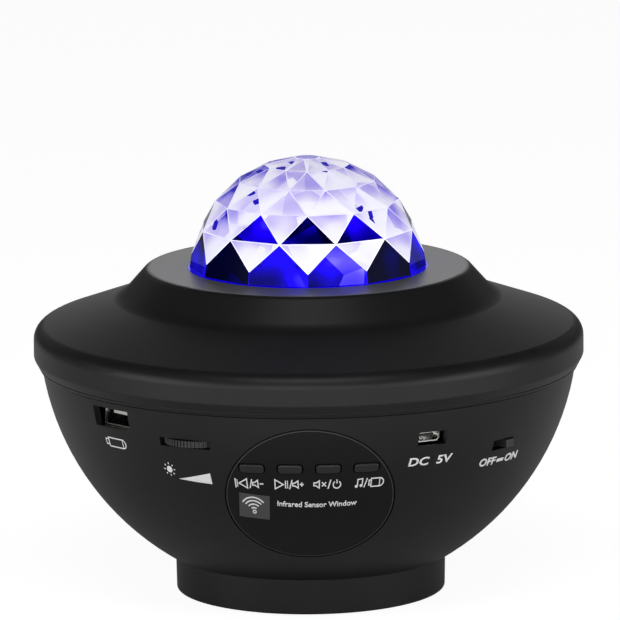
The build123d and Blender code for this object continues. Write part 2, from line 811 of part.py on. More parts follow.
with BuildPart() as lamp_chassis:
    with BuildSketch(Plane.XY.offset(deck_under_z)):
        Circle(deck_radius)
        with PolarLocations(cover_screw_ring_radius, cover_screw_count):
            Circle(screw_hole, mode=Mode.SUBTRACT)
    extrude(amount=deck_thickness)
    with BuildSketch(Plane.XY.offset(deck_z)):
        with Locations(lamp_spot):
            Circle(lamp_barrel_radius)
            Circle(lamp_bore, mode=Mode.SUBTRACT)
        with Locations(laser_spot):
            Circle(laser_barrel_radius)
    extrude(amount=barrel_top_z - deck_z)
    with BuildSketch(Plane.XY.offset(deck_z)):
        with Locations(motor_spot):
            Rectangle(motor_width + 2 * motor_sleeve_wall, motor_depth + 2 * motor_sleeve_wall)
        with Locations(lamp_spot):
            Circle(lamp_barrel_radius - barrel_wall / 2, mode=Mode.SUBTRACT)
    extrude(amount=motor_sleeve_height)
    with BuildSketch(Plane.XY.offset(deck_under_z)):
        with Locations(lamp_spot):
            Rectangle(fin_width + 2 * loose_fit, fin_width + 2 * loose_fit)
        with Locations(laser_spot):
            Circle(laser_bore)
        with Locations(motor_spot):
            Rectangle(motor_width + 2 * fit, motor_depth + 2 * fit)
    extrude(amount=gear_top_z - deck_under_z, mode=Mode.SUBTRACT)
    with BuildSketch(Plane.XY.offset(bowl_floor_z)):
        with PolarLocations(foot_ring_radius, foot_count, start_angle=first_foot_angle):
            Circle(post_radius)
    extrude(amount=deck_under_z - bowl_floor_z)
    with BuildSketch(Plane.XY.offset(bowl_floor_z)):
        with PolarLocations(foot_ring_radius, foot_count, start_angle=first_foot_angle):
            Circle(screw_hole)
    extrude(amount=screw_bite, mode=Mode.SUBTRACT)
keep(lamp_chassis, "lamp_chassis")

# ================================================================ lamp: heat sink, LEDs and lenses
with BuildPart() as heat_sink:
    with BuildSketch(Plane.XY.offset(deck_z)):
        with Locations(lamp_spot):
            Rectangle(sink_width, sink_width)
    extrude(amount=sink_base)
    fin_count = int((fin_width - sink_fin_thickness) / sink_fin_spacing) + 1
    with BuildSketch(Plane.XY.offset(deck_z)):
        with Locations(lamp_spot):
            with GridLocations(sink_fin_spacing, 0, fin_count, 1):
                Rectangle(sink_fin_thickness, fin_width)
    extrude(amount=-sink_fin_height)
keep(heat_sink, "heat_sink")

with BuildPart() as led_board:
    with BuildSketch(Plane.XY.offset(sink_top_z)):
        with Locations(lamp_spot):
            Rectangle(sink_width - fit, sink_width - fit)
    extrude(amount=led_board_thickness)
keep(led_board, "led_board")

led_colours = ("red", "green", "blue", "white")
led_spots = [
    (lamp_x + led_spacing / 2 * side_x, led_spacing / 2 * side_y)
    for side_x, side_y in ((-1, -1), (1, -1), (1, 1), (-1, 1))
]
for colour, spot in zip(led_colours, led_spots):
    with BuildPart() as led:
        with BuildSketch(Plane.XY.offset(led_board_top_z)):
            with Locations(spot):
                Rectangle(led_width, led_width)
        extrude(amount=led_height)
        with Locations((*spot, led_top_z)):
            Sphere(led_lens_radius, arc_size1=0, arc_size2=90)
    keep(led, f"led_{colour}")

with BuildPart() as lens_array:
    plate_width = led_spacing + 2 * lens_large_radius
    for spot in led_spots:
        with BuildSketch(Plane.XY.offset(lens_base_z)):
            with Locations(spot):
                Circle(lens_small_radius)
        with BuildSketch(Plane.XY.offset(lens_top_z - lens_plate)):
            with Locations(spot):
                Circle(lens_large_radius)
        loft()
    with BuildSketch(Plane.XY.offset(lens_top_z - lens_plate)):
        with Locations(lamp_spot):
            RectangleRounded(plate_width, plate_width, lens_large_radius)
    extrude(amount=lens_plate)
    with BuildSketch(Plane.XY.offset(led_board_top_z)):
        with Locations(lamp_spot):
            with GridLocations(plate_width - 2 * lens_leg_radius, 0, 2, 1):
                Circle(lens_leg_radius)
            with GridLocations(0, plate_width - 2 * lens_leg_radius, 1, 2):
                Circle(lens_leg_radius)
    extrude(amount=lens_top_z - lens_plate - led_board_top_z)
keep(lens_array, "lens_array")

with BuildPart() as laser_module:
    with BuildSketch(Plane.XY.offset(laser_bottom_z)):
        with Locations(laser_spot):
            Circle(laser_bore - fit)
    extrude(amount=laser_length)
    fillet(laser_module.edges().group_by(Axis.Z)[-1], radius=laser_edge)
keep(laser_module, "laser_module")

# ================================================================ gear train
pressure_angle = radians(pressure_angle_degrees)
addendum = addendum_ratio * gear_module
dedendum = dedendum_ratio * gear_module


def involute(angle):
    """Involute function of a pressure angle."""
    return tan(angle) - angle


def gear_outline(teeth, first_tooth):
    """Corners of a spur gear; straight chords of the true flanks, one tooth at first_tooth degrees."""
    pitch_radius = gear_module * teeth / 2
    base_radius = pitch_radius * cos(pressure_angle)
    root_radius = pitch_radius - dedendum
    half_pitch = pi / (2 * teeth) - tooth_thinning / (2 * pitch_radius)
    flank = []
    for radius in (root_radius, max(base_radius, root_radius), pitch_radius, pitch_radius + addendum):
        turned = acos(min(1.0, base_radius / radius))
        flank.append((radius, half_pitch + involute(pressure_angle) - involute(turned)))
    if base_radius <= root_radius:
        flank.pop(0)
    corners = []
    for tooth in range(teeth):
        middle = radians(first_tooth) + 2 * pi * tooth / teeth
        rising = [(radius, middle - half) for radius, half in flank]
        falling = [(radius, middle + half) for radius, half in reversed(flank)]
        corners += [(radius * cos(angle), radius * sin(angle)) for radius, angle in rising + falling]
    return corners


def turning_ring(teeth, first_tooth, spot, barrel_radius):
    """Gear ring that turns on the end of a barrel: lens seat above, skirt round the barrel below."""
    with BuildSketch(Plane.XY.offset(gear_under_z)) as toothed:
        with Locations(spot):
            Polygon(*gear_outline(teeth, first_tooth), align=None)
            Circle(barrel_radius - ring_lip, mode=Mode.SUBTRACT)
    extrude(toothed.sketch, amount=gear_height)
    with BuildSketch(Plane.XY.offset(gear_top_z - lens_seat)) as seat:
        with Locations(spot):
            Circle(barrel_radius + fit)
    extrude(seat.sketch, amount=lens_seat, mode=Mode.SUBTRACT)
    with BuildSketch(Plane.XY.offset(gear_under_z - skirt_depth)) as skirt:
        with Locations(spot):
            Circle(barrel_radius + running_fit + skirt_wall)
            Circle(barrel_radius + running_fit, mode=Mode.SUBTRACT)
    extrude(skirt.sketch, amount=skirt_depth)


# The wave ring has a tooth towards the pinion; both followers are set to mesh with it.
wave_pitch_angle = 360 / wave_teeth
towards_pinion = 90.0
tooth_at_laser = (0 - towards_pinion) / wave_pitch_angle
laser_offset = tooth_at_laser - round(tooth_at_laser)
pinion_first = towards_pinion + 180 + 180 / pinion_teeth
grating_first = 180 + 180 / grating_teeth + laser_offset * 360 / grating_teeth

with BuildPart() as wave_ring:
    turning_ring(wave_teeth, towards_pinion, lamp_spot, lamp_barrel_radius)
keep(wave_ring, "wave_ring")

with BuildPart() as wave_lens:
    with BuildSketch(Plane.XY.offset(gear_top_z - lens_seat)):
        with Locations(lamp_spot):
            Circle(lamp_barrel_radius)
    extrude(amount=lens_seat)
keep(wave_lens, "wave_lens")

with BuildPart() as grating_ring:
    turning_ring(grating_teeth, grating_first, laser_spot, laser_barrel_radius)
keep(grating_ring, "grating_ring")

with BuildPart() as star_grating:
    with BuildSketch(Plane.XY.offset(gear_top_z - lens_seat)):
        with Locations(laser_spot):
            Circle(laser_barrel_radius)
    extrude(amount=lens_seat)
keep(star_grating, "star_grating")

with BuildPart() as gear_motor:
    with BuildSketch(Plane.XY.offset(motor_top_z)):
        with Locations(motor_spot):
            Rectangle(motor_width, motor_depth)
    extrude(amount=-motor_length)
    fillet(gear_motor.edges().filter_by(Axis.Z), radius=motor_edge)
    with BuildSketch(Plane.XY.offset(motor_top_z)):
        with Locations(motor_spot):
            Circle(motor_shaft_radius + running_fit)
    extrude(amount=-motor_shaft_depth, mode=Mode.SUBTRACT)
keep(gear_motor, "gear_motor")

with BuildPart() as drive_pinion:
    with BuildSketch(Plane.XY.offset(gear_under_z)):
        with Locations(motor_spot):
            Polygon(*gear_outline(pinion_teeth, pinion_first), align=None)
    extrude(amount=gear_height)
    with BuildSketch(Plane.XY.offset(motor_top_z - motor_shaft_depth + axial_play)):
        with Locations(motor_spot):
            Circle(motor_shaft_radius)
    extrude(amount=gear_under_z - motor_top_z + motor_shaft_depth - axial_play)
keep(drive_pinion, "drive_pinion")

# ================================================================ main board and its sockets
wheel_spot = wheel_plane.from_local_coords((0, 0, wheel_centre))
notch_left = wheel_spot.X
notch_right = micro_plane.from_local_coords((-(micro_width / 2 + fit), 0, board_radius)).X - board_web

with BuildPart() as main_board:
    with BuildSketch(Plane.XY.offset(board_under_z)):
        Circle(board_radius)
        with Locations(((notch_left + notch_right) / 2, board_notch_y - board_radius / 2)):
            Rectangle(notch_right - notch_left, board_radius, mode=Mode.SUBTRACT)
        with Locations((wheel_spot.X, wheel_spot.Y)):
            Circle(wheel_radius + loose_fit * 2, mode=Mode.SUBTRACT)
        with PolarLocations(foot_ring_radius, foot_count, start_angle=first_foot_angle):
            Circle(post_radius + post_hole_gap, mode=Mode.SUBTRACT)
        with PolarLocations(
            board_screw_ring_radius, board_screw_count, board_screw_start, board_screw_span, endpoint=True
        ):
            Circle(small_screw_hole, mode=Mode.SUBTRACT)
    extrude(amount=board_thickness)
    with BuildSketch(micro_plane.offset(micro_mouth - micro_length - fit)):
        Rectangle(micro_width + 2 * fit, cut_through)
    extrude(amount=cut_through, mode=Mode.SUBTRACT)
keep(main_board, "main_board")

with BuildPart() as board_chips:
    with BuildSketch(Plane.XY.offset(board_top_z)):
        with Locations((processor_x, processor_y)):
            Rectangle(processor_width, processor_depth)
        with Locations((amplifier_x, amplifier_y)):
            Rectangle(amplifier_width, amplifier_width)
        with Locations((driver_x, driver_y)):
            Rectangle(driver_width, driver_depth)
        with Locations((memory_x, memory_y)):
            Rectangle(memory_width, memory_depth)
    extrude(amount=chip_height)
keep(board_chips, "board_chips")

with BuildPart() as usb_shell:
    with BuildSketch(usb_plane.offset(usb_mouth - usb_length)):
        Rectangle(usb_width, usb_height)
    extrude(amount=usb_length)
    with BuildSketch(usb_plane.offset(usb_mouth - usb_length + usb_metal)):
        Rectangle(usb_width - 2 * usb_metal, usb_height - 2 * usb_metal)
    extrude(amount=usb_length, mode=Mode.SUBTRACT)
keep(usb_shell, "usb_shell")

usb_cavity_width = usb_width - 2 * usb_metal
usb_cavity_height = usb_height - 2 * usb_metal
with BuildPart() as usb_tongue:
    with BuildSketch(usb_plane.offset(usb_mouth - usb_length + usb_metal)):
        Rectangle(usb_cavity_width - fit, usb_cavity_height - fit)
    extrude(amount=usb_back)
    with BuildSketch(usb_plane.offset(usb_mouth - usb_length + usb_metal)):
        with Locations((0, usb_tongue_rise)):
            Rectangle(usb_tongue_width, usb_tongue_thickness)
    extrude(amount=usb_tongue_length)
keep(usb_tongue, "usb_tongue")


def micro_outline(shrink):
    """Mouth of the small socket: a slot with its two lower corners cut off."""
    half_width = micro_width / 2 - shrink
    half_height = micro_height / 2 - shrink
    Polygon(
        (-half_width, half_height),
        (half_width, half_height),
        (half_width, micro_corner_cut - half_height),
        (half_width - micro_corner_cut, -half_height),
        (micro_corner_cut - half_width, -half_height),
        (-half_width, micro_corner_cut - half_height),
        align=None,
    )


with BuildPart() as micro_usb_shell:
    with BuildSketch(micro_plane.offset(micro_mouth - micro_length)):
        micro_outline(0)
    extrude(amount=micro_length)
    with BuildSketch(micro_plane.offset(micro_mouth - micro_length + micro_metal)):
        micro_outline(micro_metal)
    extrude(amount=micro_length, mode=Mode.SUBTRACT)
keep(micro_usb_shell, "micro_usb_shell")

with BuildPart() as micro_usb_tongue:
    with BuildSketch(micro_plane.offset(micro_mouth - micro_length + micro_metal)):
        with Locations((0, micro_tongue_rise)):
            Rectangle(micro_tongue_width, micro_tongue_thickness)
    extrude(amount=micro_tongue_length)
keep(micro_usb_tongue, "micro_usb_tongue")

# ================================================================ power switch
knob_rest = switch_travel / 2
switch_body_height = board_under_z - switch_bottom_z
switch_body_z = switch_bottom_z + switch_body_height / 2
knob_reach = bowl_reach(switch_z) + knob_proud - switch_face
with BuildPart() as switch_body:
    with BuildSketch(wall_plane(switch_azimuth, switch_body_z).offset(switch_face)):
        Rectangle(switch_body_width, switch_body_height)
    extrude(amount=-switch_body_depth)
    with BuildSketch(switch_plane.offset(switch_face)):
        Rectangle(switch_travel + knob_width + 2 * loose_fit, knob_height + 2 * fit)
    extrude(amount=-knob_root, mode=Mode.SUBTRACT)
keep(switch_body, "switch_body")

with BuildPart() as switch_knob:
    with BuildSketch(switch_plane.offset(switch_face)):
        with Locations((knob_rest, 0)):
            Rectangle(knob_width, knob_height)
    extrude(amount=knob_reach)
    outwards = Axis((0, 0, 0), switch_plane.z_dir)
    fillet(switch_knob.faces().sort_by(outwards)[-1].edges(), radius=knob_edge)
    with BuildSketch(switch_plane.offset(switch_face)):
        with Locations((knob_rest, 0)):
            Rectangle(knob_width, knob_height)
    extrude(amount=fit - knob_root)
keep(switch_knob, "switch_knob")

# ================================================================ brightness thumbwheel
def ribbed_outline():
    """Corners of the wheel's coin edge: flat-topped ribs with sloping sides."""
    root_radius = wheel_radius - wheel_rib_depth
    rib = (
        (-wheel_rib_root / 2, root_radius),
        (-wheel_rib_top / 2, wheel_radius),
        (wheel_rib_top / 2, wheel_radius),
        (wheel_rib_root / 2, root_radius),
    )
    corners = []
    for index in range(wheel_ribs):
        for share, reach in rib:
            angle = (index + share) * 2 * pi / wheel_ribs
            corners.append((reach * cos(angle), reach * sin(angle)))
    return corners


with BuildPart() as thumbwheel:
    with BuildSketch(Plane.XY.offset(wheel_z - wheel_thickness / 2)):
        with Locations((wheel_spot.X, wheel_spot.Y)):
            Polygon(*ribbed_outline(), align=None)
            Circle(pot_shaft_radius + running_fit, mode=Mode.SUBTRACT)
    extrude(amount=wheel_thickness)
keep(thumbwheel, "thumbwheel")

pot_top_z = wheel_z - wheel_thickness / 2 - fit
arm_inner = wheel_centre - wheel_radius - pot_radius
arm_length = wheel_centre - arm_inner
with BuildPart() as potentiometer:
    with BuildSketch(Plane.XY.offset(pot_top_z - pot_height)):
        with Locations((wheel_spot.X, wheel_spot.Y)):
            Circle(pot_radius)
    extrude(amount=pot_height)
    with BuildSketch(Plane.XY.offset(pot_top_z)):
        with Locations((wheel_spot.X, wheel_spot.Y)):
            Circle(pot_shaft_radius)
    extrude(amount=wheel_thickness + fit)
    with BuildSketch(wall_plane(wheel_azimuth, pot_top_z - pot_height / 2).offset(arm_inner)):
        Rectangle(pot_arm_width, pot_height)
    extrude(amount=arm_length)
    riser_height = board_under_z - pot_top_z + pot_height
    with BuildSketch(wall_plane(wheel_azimuth, board_under_z - riser_height / 2).offset(arm_inner)):
        Rectangle(pot_arm_width, riser_height)
    extrude(amount=pot_riser_length)
keep(potentiometer, "potentiometer")

# ================================================================ speaker in the bowl's floor
flange_top_z = bowl_floor_z + speaker_flange
basket_top_z = flange_top_z + basket_height
with BuildPart() as speaker_frame:
    with BuildSketch(Plane.XZ):
        with BuildLine():
            Polyline(
                (speaker_mouth_radius, bowl_floor_z),
                (speaker_radius, bowl_floor_z),
                (speaker_radius, flange_top_z),
                (speaker_mouth_radius + basket_wall, flange_top_z),
                (basket_radius, basket_top_z),
                (cone_deep_radius, basket_top_z),
                (cone_deep_radius, basket_top_z - basket_wall),
                (basket_radius - basket_wall, basket_top_z - basket_wall),
                (speaker_mouth_radius, flange_top_z),
                close=True,
            )
        make_face()
    revolve(axis=Axis.Z)
    with BuildSketch(Plane.XY.offset(bowl_floor_z)):
        with PolarLocations(speaker_screw_ring_radius, speaker_screw_count):
            Circle(small_screw_hole)
    extrude(amount=speaker_flange, mode=Mode.SUBTRACT)
keep(speaker_frame, "speaker_frame")

with BuildPart() as speaker_magnet:
    with BuildSketch(Plane.XY.offset(basket_top_z)):
        Circle(magnet_radius)
    extrude(amount=magnet_height)
    chamfer(speaker_magnet.edges().group_by(Axis.Z)[-1], length=magnet_edge)
keep(speaker_magnet, "speaker_magnet")

cone_rim = speaker_mouth_radius - fit
with BuildPart() as speaker_cone:
    with BuildSketch(Plane.XZ):
        with BuildLine():
            Polyline(
                (cone_rim, bowl_floor_z),
                (cone_rim, bowl_floor_z + cone_thickness),
                (cone_rim - cone_surround, bowl_floor_z + cone_thickness),
                (cone_deep_radius, bowl_floor_z + cone_depth),
                (0, bowl_floor_z + cone_depth - cone_thickness),
                (0, bowl_floor_z + cone_depth - 2 * cone_thickness),
                (cone_deep_radius, bowl_floor_z + cone_depth - cone_thickness),
                (cone_rim - cone_surround, bowl_floor_z),
                close=True,
            )
        make_face()
    revolve(axis=Axis.Z)
keep(speaker_cone, "speaker_cone")


# ================================================================ screws, one file for each group
def screws(plane, spots, shank_radius, length):
    """Pan-head screws whose heads seat on a plane, with their shanks along its direction."""
    with BuildSketch(plane) as heads:
        with Locations(*spots):
            Circle(shank_radius * head_ratio)
    extrude(heads.sketch, amount=-head_height)
    with BuildSketch(plane) as shanks:
        with Locations(*spots):
            Circle(shank_radius)
    extrude(shanks.sketch, amount=length)


def ring_spots(radius, angles):
    """Points on a circle."""
    return [(radius * cos(radians(angle)), radius * sin(radians(angle))) for angle in angles]


with BuildPart() as base_screws:
    base_length = bowl_floor_z - base_head_z + screw_bite - fit
    screws(
        Plane.XY.offset(base_head_z),
        ring_spots(foot_ring_radius, around(foot_count, first_foot_angle)),
        screw_radius,
        base_length,
    )
keep(base_screws, "base_screws")

with BuildPart() as cover_screws:
    screws(
        Plane.XY.offset(deck_under_z),
        ring_spots(cover_screw_ring_radius, around(cover_screw_count)),
        screw_radius,
        deck_thickness + screw_bite - fit,
    )
keep(cover_screws, "cover_screws")

with BuildPart() as retainer_screws:
    screws(
        Plane.XY.offset(retainer_under_z),
        ring_spots(retainer_screw_ring_radius, around(retainer_screw_count, first_foot_angle)),
        small_screw_radius,
        retainer_thickness + small_screw_bite - 2 * fit,
    )
keep(retainer_screws, "retainer_screws")

board_screw_step = board_screw_span / (board_screw_count - 1)
board_screw_angles = [board_screw_start + board_screw_step * index for index in range(board_screw_count)]
with BuildPart() as board_screws:
    downwards = Plane(origin=(0, 0, board_top_z), x_dir=(1, 0, 0), z_dir=(0, 0, -1))
    screws(
        downwards,
        ring_spots(board_screw_ring_radius, [-angle for angle in board_screw_angles]),
        small_screw_radius,
        board_thickness + small_screw_bite,
    )
keep(board_screws, "board_screws")

with BuildPart() as button_board_screws:
    screws(
        panel_plane.offset(button_board_top - button_board_thickness),
        button_board_spots,
        small_screw_radius,
        button_board_thickness + small_screw_bite,
    )
keep(button_board_screws, "button_board_screws")

with BuildPart() as speaker_screws:
    downwards = Plane(origin=(0, 0, flange_top_z), x_dir=(1, 0, 0), z_dir=(0, 0, -1))
    screws(
        downwards,
        ring_spots(speaker_screw_ring_radius, around(speaker_screw_count)),
        small_screw_radius,
        speaker_flange + bowl_floor - fit,
    )
keep(speaker_screws, "speaker_screws")
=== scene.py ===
"""Looks of the star night light projector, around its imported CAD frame.

The lamp's lengths are written in millimetres and become metres through MM; those of the floor,
the lights and the camera are in metres. The lamp stands on z = 0 and its control panel faces -Y.
The printed symbols lie on the ball that the bowl is cut from, and the crystal is built from the
rings of corners that its facets share.
"""

from math import asin, atan2, cos, degrees, pi, radians, sin, sqrt

import bmesh
import bpy
import numpy as np
from mathutils import Matrix, Vector


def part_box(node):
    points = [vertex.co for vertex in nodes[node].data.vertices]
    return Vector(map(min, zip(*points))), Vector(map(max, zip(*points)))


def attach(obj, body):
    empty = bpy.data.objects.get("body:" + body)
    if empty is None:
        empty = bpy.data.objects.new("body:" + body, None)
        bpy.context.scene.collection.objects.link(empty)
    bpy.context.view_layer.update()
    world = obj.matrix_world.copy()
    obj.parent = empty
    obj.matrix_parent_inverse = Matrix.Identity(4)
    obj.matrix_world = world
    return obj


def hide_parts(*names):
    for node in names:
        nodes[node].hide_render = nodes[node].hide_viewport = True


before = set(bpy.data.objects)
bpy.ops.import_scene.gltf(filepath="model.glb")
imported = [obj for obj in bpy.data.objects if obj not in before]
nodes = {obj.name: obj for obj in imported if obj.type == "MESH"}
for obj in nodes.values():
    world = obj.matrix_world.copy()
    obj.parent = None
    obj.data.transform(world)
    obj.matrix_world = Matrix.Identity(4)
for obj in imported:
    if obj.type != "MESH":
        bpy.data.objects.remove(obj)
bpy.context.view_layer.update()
MM = 0.001

# ---------------------------------------------------------------- sizes of the lamp, in mm
bowl_radius = 80.9          # the ball that the bowl is cut from
bowl_neck_radius = 41.9
panel_sunk = 0.15
panel_z = 41.4
panel_line_radius = 24.33
ink_lift = 0.03             # printed ink above the surface
ink_depth = 0.08            # and how deep each print reaches in, so that it is a closed solid
ink_step = 1.0              # prints are cut this fine, so that they follow the ball
ink_weld = 0.004            # closer points of a print are one
mitre_limit = 0.35          # the lower this is, the further a sharp corner of a line reaches out
capital_share = 0.7         # height of the font's capitals, as a share of its size
eye_line = radians(11.1)    # the front is seen from this far above the table
cloud_mm = 18               # how wide a plastic's shade drifts
streak_stretch = 30         # streaks in metal are this many times longer than wide
painted_sheen_fade = (0.2, 0.05)     # the flat ring's painted sheen sets in this far below its top

usb_azimuth = -47.7         # from the front, counted towards the right
socket_lit_depth = 1.1      # how far the painted light reaches into a socket: deeper in is painted shade
socket_rim = 0.1            # and its rim, with no painted shade
socket_painted_shade = "#434343"    # painted shade of the metal deeper in

crystal_radius = 35.4
crystal_wall = 2.6
crystal_sink = 2.2          # the ball's centre below the collar's top
crystal_sides = 12
ring_latitudes = (10, 24, 39, 54, 69, 84)
flange_thickness = 1.5
plinth_gap = 0.1
disc_corners = 128          # round parts of the crystal
ball_corners = 96
same_way = 0.9999           # two normals with this cosine or more point the same way

neck_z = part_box("pedestal")[1].z / MM
collar_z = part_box("top_cover")[1].z / MM
flange_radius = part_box("dome")[1].x / MM
flange_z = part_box("dome")[0].z / MM
bowl_centre_z = neck_z + sqrt(bowl_radius**2 - bowl_neck_radius**2)
crystal_z = collar_z - crystal_sink


# ================================================================ small helpers
def colour(code):
    """sRGB hex to the linear colour that shaders take."""
    parts = [int(code[i : i + 2], 16) / 255 for i in (1, 3, 5)]
    linear = [c / 12.92 if c <= 0.04045 else ((c + 0.055) / 1.055) ** 2.4 for c in parts]
    return (*linear, 1.0)


def add(tree, kind, inputs=None, **settings):
    """Add a node. inputs maps a socket's name or number to a value or to the socket that feeds it."""
    node = tree.nodes.new(kind)
    for name, value in settings.items():
        setattr(node, name, value)
    for key, value in (inputs or {}).items():
        if isinstance(value, bpy.types.NodeSocket):
            tree.links.new(value, node.inputs[key])
        else:
            node.inputs[key].default_value = value
    return node


def new_material(name):
    """Empty node material."""
    made = bpy.data.materials.new(name)
    made.use_nodes = True
    made.node_tree.nodes.clear()
    return made, made.node_tree


def finish_material(tree, shader):
    """Send a shader to the material's output."""
    add(tree, "ShaderNodeOutputMaterial", {"Surface": shader.outputs[0]})


def ramp(tree, source, stops):
    """Colour ramp with its stops given as (place, colour code)."""
    node = add(tree, "ShaderNodeValToRGB", {0: source})
    elements = node.color_ramp.elements
    while len(elements) < len(stops):
        elements.new(0.5)
    for element, (place, code) in zip(elements, stops):
        element.position = place
        element.color = colour(code)
    return node.outputs["Color"]


def dress(material, *names):
    """Give CAD nodes a finish."""
    for name in names:
        slots = nodes[name].data.materials
        slots.clear()
        slots.append(material)


def mesh_object(name, data):
    """Put a mesh in the scene, at the origin."""
    made = bpy.data.objects.new(name, data)
    bpy.context.scene.collection.objects.link(made)
    return made


# ================================================================ finishes
def moulded_plastic(name, shades, grain_mm, grain_depth_mm, roughness, specular=0.5, painted_sheen_shade=None):
    """Moulded plastic: two close shades in soft clouds, and a fine grain that breaks the gloss.

    The flat ring round the crystal can have a paler shade of its own: a painted sheen.
    """
    made, tree = new_material(name)
    place = add(tree, "ShaderNodeTexCoord").outputs["Object"]
    clouds = add(tree, "ShaderNodeTexNoise", {"Vector": place, "Scale": 1 / (cloud_mm * MM), "Detail": 3.0})
    grain = add(tree, "ShaderNodeTexNoise", {"Vector": place, "Scale": 1 / (grain_mm * MM), "Detail": 2.0})
    shade = ramp(tree, clouds.outputs["Fac"], ((0.3, shades[0]), (0.7, shades[1])))
    # Painted sheen: the flat ring round the crystal is mixed to a paler shade.
    if painted_sheen_shade:
        height = add(tree, "ShaderNodeSeparateXYZ", {0: place}).outputs["Z"]
        limits = {"From Min": (collar_z - painted_sheen_fade[0]) * MM, "From Max": (collar_z - painted_sheen_fade[1]) * MM}
        sheen_on_top = add(tree, "ShaderNodeMapRange", {"Value": height, **limits}).outputs[0]
        mixed = {"Fac": sheen_on_top, "Color1": shade, "Color2": colour(painted_sheen_shade)}
        shade = add(tree, "ShaderNodeMixRGB", mixed).outputs[0]
    gloss = add(
        tree,
        "ShaderNodeMapRange",
        {"Value": grain.outputs["Fac"], "To Min": roughness[0], "To Max": roughness[1]},
    )
    bump = add(
        tree,
        "ShaderNodeBump",
        {"Height": grain.outputs["Fac"], "Strength": 0.4, "Distance": grain_depth_mm * MM},
    )
    shader = add(
        tree,
        "ShaderNodeBsdfPrincipled",
        {
            "Base Color": shade,
            "Roughness": gloss.outputs["Result"],
            "Specular IOR Level": specular,
            "Normal": bump.outputs["Normal"],
        },
    )
    finish_material(tree, shader)
    return made


# Injection-moulded ABS with a soft-touch coat: deep charcoal, a wide dim sheen, a grain just too
# fine to see, drawn at 0.45 mm so that it shows as a faint texture.
# Its flat ring round the crystal gets a paler painted sheen, for the backdrop's low reflection.
soft_touch_abs = moulded_plastic(
    "soft_touch_abs", ("#1b1b1c", "#1f1f20"), 0.45, 0.02, (0.36, 0.46), specular=0.3, painted_sheen_shade="#707071"
)
# Hard-coated polycarbonate film on a moulded disc: darker and more even than the bowl.
panel_film = moulded_plastic("coated_panel_film", ("#0f0f10", "#111112"), 0.4, 0.01, (0.5, 0.6), 0.25)
# Satin moulded ABS of the keys.
satin_abs = moulded_plastic("satin_key_abs", ("#202021", "#252526"), 0.5, 0.015, (0.26, 0.36), 0.5)
# Lighter satin ABS of the thumbwheel and the slide knob.
handled_abs = moulded_plastic("satin_handled_abs", ("#2e2e2f", "#343435"), 0.5, 0.015, (0.3, 0.42), 0.5)
# Plain black ABS of the chassis and the small inner mouldings.
chassis_abs = moulded_plastic("black_chassis_abs", ("#171717", "#1d1d1d"), 0.6, 0.02, (0.4, 0.55))
# Moulded acetal of the gears: milky, slightly waxy.
white_acetal = moulded_plastic("milky_acetal", ("#dcdbd4", "#e6e5df"), 0.8, 0.01, (0.28, 0.38))
# Moulded rubber of the feet: dead matt.
black_rubber = moulded_plastic("moulded_rubber", ("#191919", "#202020"), 0.5, 0.05, (0.75, 0.9), 0.3)
# Solder mask over fibreglass, and over the aluminium of the LED board.
green_mask = moulded_plastic("green_solder_mask", ("#0c3d22", "#12502c"), 2.5, 0.02, (0.25, 0.35))
white_mask = moulded_plastic("white_solder_mask", ("#dededa", "#e9e9e6"), 2.5, 0.02, (0.25, 0.35))
# Grey smoked acrylic over the remote sensor.
smoked_acrylic = moulded_plastic("smoked_acrylic", ("#4c4c4e", "#525254"), 0.5, 0.01, (0.3, 0.4))
# Screen-printed white ink: opaque, a little uneven.
white_ink = moulded_plastic("screen_printed_ink", ("#f4f4f4", "#ffffff"), 0.5, 0.01, (0.45, 0.6))
# The same in dark grey, for the line round the panel.
grey_ink = moulded_plastic("grey_printed_ink", ("#454547", "#4c4c4e"), 0.5, 0.01, (0.45, 0.6))
# Coated paper of the loudspeaker's cone.
coated_paper = moulded_plastic("coated_cone_paper", ("#1b1b1b", "#282828"), 0.7, 0.06, (0.7, 0.85), 0.3)
# Stoved black enamel on the loudspeaker's basket.
black_enamel = moulded_plastic("stoved_enamel", ("#101010", "#161616"), 0.9, 0.01, (0.3, 0.42))


def worked_metal(name, shades, roughness, streak_mm, along, mouth=None):
    """Bare or plated metal with fine streaks along the way it was drawn or turned.

    mouth is a socket's outward way and how far along it the rim lies, in mm: behind the rim the
    metal dims to a painted shade, where a deep socket gets little light.
    """
    made, tree = new_material(name)
    place = add(tree, "ShaderNodeTexCoord").outputs["Object"]
    scale = [1 / (streak_mm * MM)] * 3
    scale[along] /= streak_stretch
    stretched = add(tree, "ShaderNodeMapping", {"Vector": place, "Scale": scale})
    streaks = add(tree, "ShaderNodeTexNoise", {"Vector": stretched.outputs[0], "Scale": 1.0, "Detail": 2.0})
    gloss = add(
        tree,
        "ShaderNodeMapRange",
        {"Value": streaks.outputs["Fac"], "To Min": roughness[0], "To Max": roughness[1]},
    )
    shade = ramp(tree, streaks.outputs["Fac"], ((0.35, shades[0]), (0.65, shades[1])))
    # Painted shade: deeper in a socket the metal darkens.
    if mouth is not None:
        outward, rim = mouth
        reach = add(tree, "ShaderNodeVectorMath", {0: place, 1: outward}, operation="DOT_PRODUCT")
        limits = {"From Min": (rim - socket_lit_depth) * MM, "From Max": (rim - socket_rim) * MM}
        lit = add(tree, "ShaderNodeMapRange", {"Value": reach.outputs["Value"], **limits})
        mixed = {"Fac": lit.outputs[0], "Color1": colour(socket_painted_shade), "Color2": shade}
        shade = add(tree, "ShaderNodeMixRGB", mixed).outputs[0]
    shader = add(
        tree,
        "ShaderNodeBsdfPrincipled",
        {
            "Base Color": shade,
            "Metallic": 1.0,
            "Roughness": gloss.outputs["Result"],
        },
    )
    finish_material(tree, shader)
    return made


# Bright nickel plate over pressed steel.
nickel_plate = worked_metal("nickel_plated_steel", ("#c9c8c4", "#e2e1de"), (0.16, 0.3), 0.3, 0)
